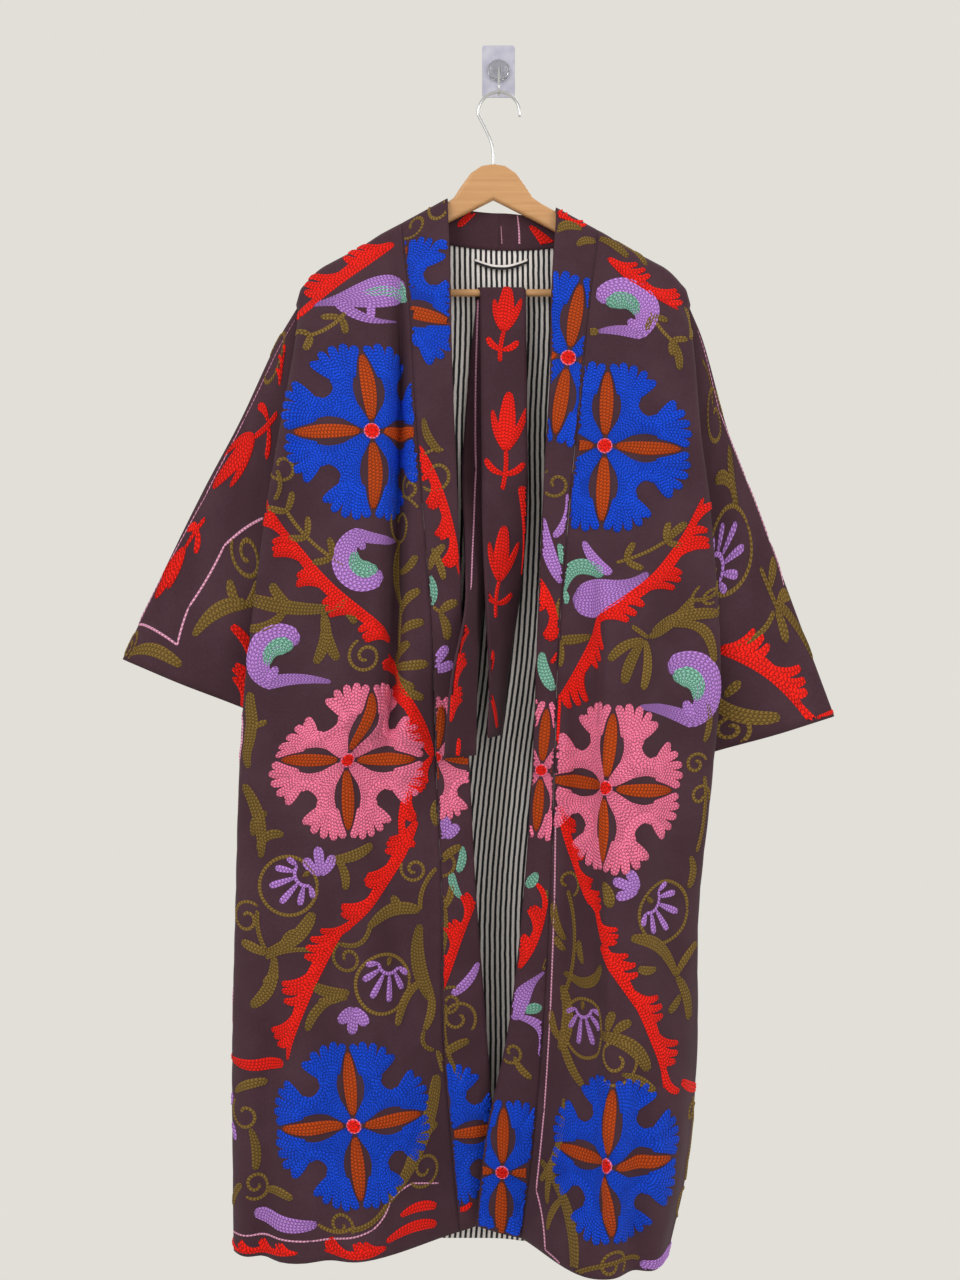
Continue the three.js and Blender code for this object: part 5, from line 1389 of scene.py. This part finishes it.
class ROBE_OT_fronts(Operator):
    """Make both front panels with their embroidery, each folded back at its outer edge to its side seam"""
    bl_idname = "robe.fronts"
    bl_label = "Front panels"

    def execute(self, context):
        cloth_set, thread, _ = settings()
        for name in SIDE:
            cloth = front_cloth(name)
            out = cloth.normal.copy()
            out[:, 0] = seam_normal(name, cloth.v)
            out[0] = (0, 0, 1)
            piece = wall(f"{name}_front_panel", cloth, cloth_set.thick,
                         [material("ground"), material("stripes")], out,
                         cloth_set.hem)
            strokes = drawn(cloth, EMBROIDERY[f"{name}_front"])
            work = embroider(f"{name}_front_stitches", cloth, strokes, material("stitches"), thread)
            declare(piece, [work], f"{name}_front")
        return {"FINISHED"}


class ROBE_OT_neckbands(Operator):
    """Make the two halves of the neckband, joined at the centre back, with their embroidery"""
    bl_idname = "robe.neckbands"
    bl_label = "Neckband"

    def execute(self, context):
        cloth_set, thread, _ = settings()
        for name in SIDE:
            cloth, ridge = band_cloth(name)
            out = cloth.normal.copy()
            out[ridge:, -1] = seam_normal(name, cloth.v[ridge:])
            out[ridge] = (0, 0, 1)
            piece = wall(f"{name}_neckband_strip", cloth, cloth_set.thick,
                         [material("ground"), material("ground")], out)
            strokes = drawn(cloth, EMBROIDERY[f"{name}_neckband"])
            within = drawn(cloth, EMBROIDERY[f"{name}_neckband_inside"], 1)
            work = [embroider(f"{name}_neckband_stitches", cloth, strokes, material("stitches"), thread),
                    embroider(f"{name}_neckband_inside", cloth, within, material("stitches"), thread, -1)]
            declare(piece, work, f"{name}_neckband")
        return {"FINISHED"}


class ROBE_OT_back(Operator):
    """Make the back panel with its embroidery, and the striped lining inside it"""
    bl_idname = "robe.back"
    bl_label = "Back panel and lining"

    def execute(self, context):
        cloth_set, thread, _ = settings()
        v = body_rows(1265.0, 9.0)
        cloth = Cloth(back_grid(v, np.linspace(0, 1, 133)), False, -1, v, level=1.0, origin=66)
        out = cloth.normal.copy()
        on_ridge = neck_share(cloth.points[0, :, 0]) == 0
        out[0, on_ridge] = (0, 0, 1)
        piece = wall("back_panel_cloth", cloth, cloth_set.thick, [material("ground"), material("stripes")],
                     out,
                     cloth_set.hem)
        strokes = back_middle()
        for name in SIDE:
            strokes += mirrored(drawn(front_cloth(name), EMBROIDERY[f"{name}_front"]), -SIDE[name]
                                * BACK_SHIFT)
        work = embroider("back_panel_stitches", cloth, strokes, material("stitches"), thread)
        declare(piece, [work], "back_panel")
        inner = back_grid(v, np.linspace(0.18, 0.82, 85))
        shell = Cloth(inner, False, -1, v)
        offset = cloth_set.thick / 2 + SEAM + 0.5
        rows = v > 50.0 / 1265.0
        lining = Cloth((inner - shell.normal * offset)[rows], True, 1, v[rows], level=1.0, origin=42)
        stripes = wall("back_lining_cloth", lining, 1.0, [material("stripes"), material("stripes")])
        declare(stripes, [], "back_lining")
        return {"FINISHED"}


# from the centre back to the grain line of the embroidery that is mirrored from each front
BACK_SHIFT = 172.0


def back_middle():
    """Down the middle of the back: a column of rosettes with feathered leaves and paisleys between them."""
    strokes = []
    for x, y, radius, colour in ((36, -215, 70, "blue"), (18, -640, 68, "pink"), (4, -1090, 70, "blue")):
        strokes += rosette(x + 1j * y, x + 1j * y + radius, 0, 0, colour)
    for y, side in ((-345, 1), (-770, -1)):
        strokes += barb(side * 34 + 1j * y, -side * 24 + 1j * (y - 168), 0.12 * side, 20, "red")
        strokes += comma(-side * 38 + 1j * (y - 20), side * 2 + 1j * (y - 62), 0.35 * side, 22, "lilac")
        strokes += plume(side * 46 + 1j * (y - 150), side * 18 + 1j * (y - 70), -0.12 * side, 13, "olive")
    return strokes


class ROBE_OT_sleeves(Operator):
    """Make both sleeves as flattened tubes, embroidered in front and behind"""
    bl_idname = "robe.sleeves"
    bl_label = "Sleeves"

    def execute(self, context):
        cloth_set, thread, _ = settings()
        for name in SIDE:
            k = np.linspace(0, 1, 46) ** 1.25
            grid = sleeve_grid(name, k, np.linspace(0, 2 * np.pi, 73))
            cloth = Cloth(grid, name == "right", -SIDE[name], k, ring=True)
            piece = wall(f"{name}_sleeve_tube", cloth, cloth_set.thick,
                         [material("ground"), material("stripes")])
            strokes = drawn(cloth, EMBROIDERY[f"{name}_sleeve"])
            strokes += mirrored(strokes, 0)
            work = embroider(f"{name}_sleeve_stitches", cloth, strokes, material("stitches"), thread)
            declare(piece, [work], f"{name}_sleeve")
        return {"FINISHED"}


SASH_WIDTH, SASH_THICK, SASH_LOOP = 57.0, 2.0, 5.85
SASH_COLUMNS = ("t", "x", "y", "z", "turn")
SASH_FRONT = [(0, -5, -70, -842, 72), (0.2, 0, -68, -760, 64), (0.4, 5, -62, -650, 36),
              (0.6, 7, -58, -540, 6),
              (0.8, 6, -52, -420, 0), (1, 5, -41.85, -300, 0)]
SASH_BACK = [(0, 0, -30.15, -300, 0), (0.2, -10, -28, -400, 2), (0.4, -17, -31, -500, 6),
             (0.6, -20, -50, -600, 36),
             (0.72, -29, -78, -680, 66), (0.86, -42, -116, -770, 58), (1, -47, -128, -862, 50)]
BAR_Z = -291.0


class ROBE_OT_sash(Operator):
    """Make the sash, folded over the hanger's bar, with buds down its front tail"""
    bl_idname = "robe.sash"
    bl_label = "Sash"

    def execute(self, context):
        _, thread, _ = settings()
        tails = [table(SASH_COLUMNS, rows)(np.linspace(0, 1, 64)) for rows in (SASH_FRONT, SASH_BACK)]
        angle = np.linspace(0, np.pi, 16)
        over = {"x": 5 - 5 * angle / np.pi, "y": HANG_Y - SASH_LOOP * np.cos(angle),
                "z": BAR_Z + SASH_LOOP * np.sin(angle), "turn": 0 * angle}
        line = {key: np.concatenate([tails[0][key], over[key], tails[1][key]]) for key in SASH_COLUMNS[1:]}
        turn = np.radians(line["turn"])
        wide = np.stack([np.cos(turn), np.sin(turn), 0 * turn], axis=-1)
        middle = np.stack([line["x"], line["y"], line["z"]], axis=-1)
        share = np.linspace(-0.5, 0.5, 13)
        grid = middle[:, None] + wide[:, None] * share[None, :, None] * SASH_WIDTH
        cloth = Cloth(grid, False, -1, np.arange(len(grid)))
        piece = wall("sash_strip", cloth, SASH_THICK, [material("ground"), material("ground")])
        work = [embroider("sash_front_stitches", cloth, drawn(cloth, EMBROIDERY["sash"]),
                          material("stitches"), thread),
                embroider("sash_back_stitches", cloth, drawn(cloth, EMBROIDERY["sash_back"], 1),
                          material("stitches"),
                          thread, -1)]
        declare(piece, work, "sash")
        return {"FINISHED"}


def spline(points, steps):
    """A centripetal Catmull-Rom curve through points in space, at even steps of its own parameter."""
    return plan_path(np.array(points, float)[None], steps)[0]


def tube(name, path, radius, side, sides=20, material_name="chrome"):
    """A round wire along a path: rings square to it, laid out from one fixed side direction, and domed ends."""
    way = np.gradient(path, axis=0)
    way /= np.linalg.norm(way, axis=1, keepdims=True)
    dome = np.radians([88, 66, 44, 22])
    path = np.concatenate([path[0] - way[0] * radius * np.sin(dome)[:, None], path,
                           path[-1] + way[-1] * radius * np.sin(dome[::-1])[:, None]])
    way = np.concatenate([np.repeat(way[:1], 4, 0), way, np.repeat(way[-1:], 4, 0)])
    size = radius * np.concatenate([np.cos(dome), np.ones(len(path) - 8), np.cos(dome[::-1])])
    first = np.cross(way, side)
    first /= np.linalg.norm(first, axis=1, keepdims=True)
    second = np.cross(way, first)
    angle = np.linspace(0, 2 * np.pi, sides, endpoint=False)
    ring = first[:, None] * np.cos(angle)[None, :, None] + second[:, None] * np.sin(angle)[None, :, None]
    points = path[:, None] + ring * size[:, None, None]
    run = np.concatenate([[0], np.cumsum(np.linalg.norm(np.diff(path, axis=0), axis=1))])
    uv = np.stack(np.broadcast_arrays(run[:, None], angle[None, :] * radius), axis=-1).reshape(-1, 2)
    points, faces = closed_rings(points)
    return build(name, points, faces, [material(material_name)], uv=np.concatenate([uv, uv[:1], uv[-1:]]))


class ROBE_OT_hanger(Operator):
    """Finish the hanger and its hook, and the adhesive hook on the wall"""
    bl_idname = "robe.hanger"
    bl_label = "Hanger and hooks"

    def execute(self, context):
        hanger = settings()[2]
        for name, finish_name in (("hanger_wood", "wood"), ("wall_plate", "film")):
            solid = bpy.data.objects[name]
            solid.data.materials.clear()
            solid.data.materials.append(material(finish_name))
        angle = np.linspace(-0.12, np.pi + 0.08, 40)
        arc_points = np.stack([26 * np.cos(angle), 0 * angle + HANG_Y, -66.5 + 26 * np.sin(angle)], axis=-1)
        bend = spline([arc_points[-1], (-16.1, HANG_Y, -88), (-9.5, HANG_Y, -103), (HANG_X, HANG_Y, -118),
                       (HANG_X, HANG_Y, -136.5)], 60)
        hook = tube("hanger_hook_wire", np.concatenate([arc_points, bend[1:]]), hanger.hook_wire * 500,
                    (0, 1, 0))
        wall_path = spline([(0, -6.4, 0), (0, -11.4, 0), (0, -19.4, -4), (0, -26, -32.35), (0, -30, -41.35),
                            (0, -36, -44.35), (0, -42, -40.85), (0, -44, -33.35)], 96)
        wire = tube("wall_hook_wire", wall_path[4:-4], hanger.wall_wire * 500, (1, 0, 0))
        bar = tube("hanger_bar_rod",
                   np.stack([np.linspace(-212.4, 198.4, 30), np.full(30, HANG_Y), np.full(30, BAR_Z)], -1),
                   4.5, (0, 1, 0), 24, "wood")
        for piece, solid, slot in ((hook, "hanger_hook", "chrome_wire"), (wire, "wall_hook", "chrome_wire"),
                                   (bar, "hanger_bar", "hanger_wood")):
            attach(piece, "root")
            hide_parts(solid)
        boss = lathe("wall_boss_disc", [(0.01, 0), (12.8, 0), (13.7, 0.5), (14, 1.4), (14, 3.0), (13.4, 4.0),
                                        (12.6, 5.0),
                                        (11.2, 6.3), (10.2, 6.9), (9.4, 7.0), (5, 7.0), (1.9, 7.0),
                                        (1.9, 4.1), (0.01, 4.1)],
                     (0, -2.3, 0), material("clear"))
        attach(boss, "root")
        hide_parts("wall_boss")
        return {"FINISHED"}


def lathe(name, profile, place, finish_material, sides=64):
    """A profile of (radius, height) turned round an axis that points out of the wall."""
    angle = np.linspace(0, 2 * np.pi, sides, endpoint=False)
    r, h = np.array(profile, float).T
    points = np.stack([r[:, None] * np.cos(angle), np.broadcast_to(-h[:, None], (len(r), sides)), r[:, None]
                       * np.sin(angle)],
                      axis=-1) + np.array(place)
    return build(name, *closed_rings(points), [finish_material])


class ROBE_OT_loop(Operator):
    """Make the hanging loop: a narrow strap of the lining's cloth that sags between its ends under the neckband"""
    bl_idname = "robe.loop"
    bl_label = "Hanging loop"

    def execute(self, context):
        t = np.linspace(0, 1, 40)[:, None]
        a = np.linspace(0, 1, 7)[None, :]
        sag = np.sin(np.pi * t)
        grid = np.stack(np.broadcast_arrays(-30 + 66 * t, -26.1 - 4 * sag, -246 - 9 * sag - 5.5 * a), axis=-1)
        cloth = Cloth(grid, True, 1, t[:, 0])
        piece = wall("hang_loop_strap", cloth, 1.4, [material("stripes"), material("stripes")])
        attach(piece, "root")
        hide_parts("hang_loop")
        return {"FINISHED"}


class ROBE_OT_stage(Operator):
    """Set the pale floor, the soft lights and the camera"""
    bl_idname = "robe.stage"
    bl_label = "Stage"

    def execute(self, context):
        scene = context.scene
        scene.view_settings.view_transform = "Standard"
        world = bpy.data.worlds.new("pale room")
        world.use_nodes = True
        shade = world.node_tree.nodes["Background"].inputs
        shade["Color"].default_value = rgba(linear("#e2dfd8"))
        shade["Strength"].default_value = 1.0
        scene.world = world
        grid = np.stack(np.meshgrid(np.linspace(-1500, 1500, 7), np.linspace(-1500, 1500, 7), [-2300.0]),
                        -1).reshape(-1, 3)
        floor = build("floor", grid, grid_faces(7, 7), [material("floor")], smooth_shade=False)
        for name, place, size, power in (("soft left", (-1.9, -2.3, 0.9), 1.6, 30),
                                         ("soft right", (2.1, -2.1, 0.5), 1.6, 20),
                                         ("high back", (0.4, 1.8, 1.2), 1.4, 16)):
            light = bpy.data.lights.new(name, "AREA")
            light.shape, light.size, light.energy = "SQUARE", size, power
            lamp = bpy.data.objects.new(name, light)
            scene.collection.objects.link(lamp)
            lamp.location = place
            aim = np.array([0.0, -0.06, -0.75]) - np.array(place)
            lamp.rotation_euler = (math.acos(-aim[2] / np.linalg.norm(aim)), 0, math.atan2(aim[1], aim[0])
                                   - math.pi / 2)
        camera = bpy.data.objects.new("camera", bpy.data.cameras.new("camera"))
        scene.collection.objects.link(camera)
        camera.data.sensor_fit, camera.data.sensor_width, camera.data.sensor_height = "VERTICAL", 27.0, 36.0
        camera.data.lens = 37.5
        camera.data.clip_start, camera.data.clip_end = 0.05, 50
        camera.location = (-0.0236, -1.7, -0.7242)
        camera.rotation_euler = (math.pi / 2, 0, 0)
        scene.camera = camera
        return {"FINISHED"}


STEPS = (ROBE_OT_stage, ROBE_OT_fronts, ROBE_OT_neckbands, ROBE_OT_back, ROBE_OT_sleeves, ROBE_OT_sash,
         ROBE_OT_loop,
         ROBE_OT_hanger)


class ROBE_PT_panel(Panel):
    """Sizes and colours of the robe, and a button for each piece"""
    bl_idname = "ROBE_PT_panel"
    bl_label = "Embroidered robe"
    bl_space_type = "VIEW_3D"
    bl_region_type = "UI"
    bl_category = "Robe"

    def draw(self, context):
        for key in SETTINGS:
            box = self.layout.box()
            for name in SETTINGS[key].__annotations__:
                box.prop(getattr(context.scene, key), name)
        for step in STEPS:
            self.layout.operator(step.bl_idname)


CLASSES = (*SETTINGS.values(), *STEPS, ROBE_PT_panel)


def register():
    for made in CLASSES:
        bpy.utils.register_class(made)
    for key, made in SETTINGS.items():
        setattr(bpy.types.Scene, key, PointerProperty(type=made))


def unregister():
    for key in SETTINGS:
        delattr(bpy.types.Scene, key)
    for made in reversed(CLASSES):
        bpy.utils.unregister_class(made)


def main():
    register()
    for step in STEPS:
        getattr(bpy.ops.robe, step.bl_idname.split(".")[1])()


if __name__ == "__main__":
    main()
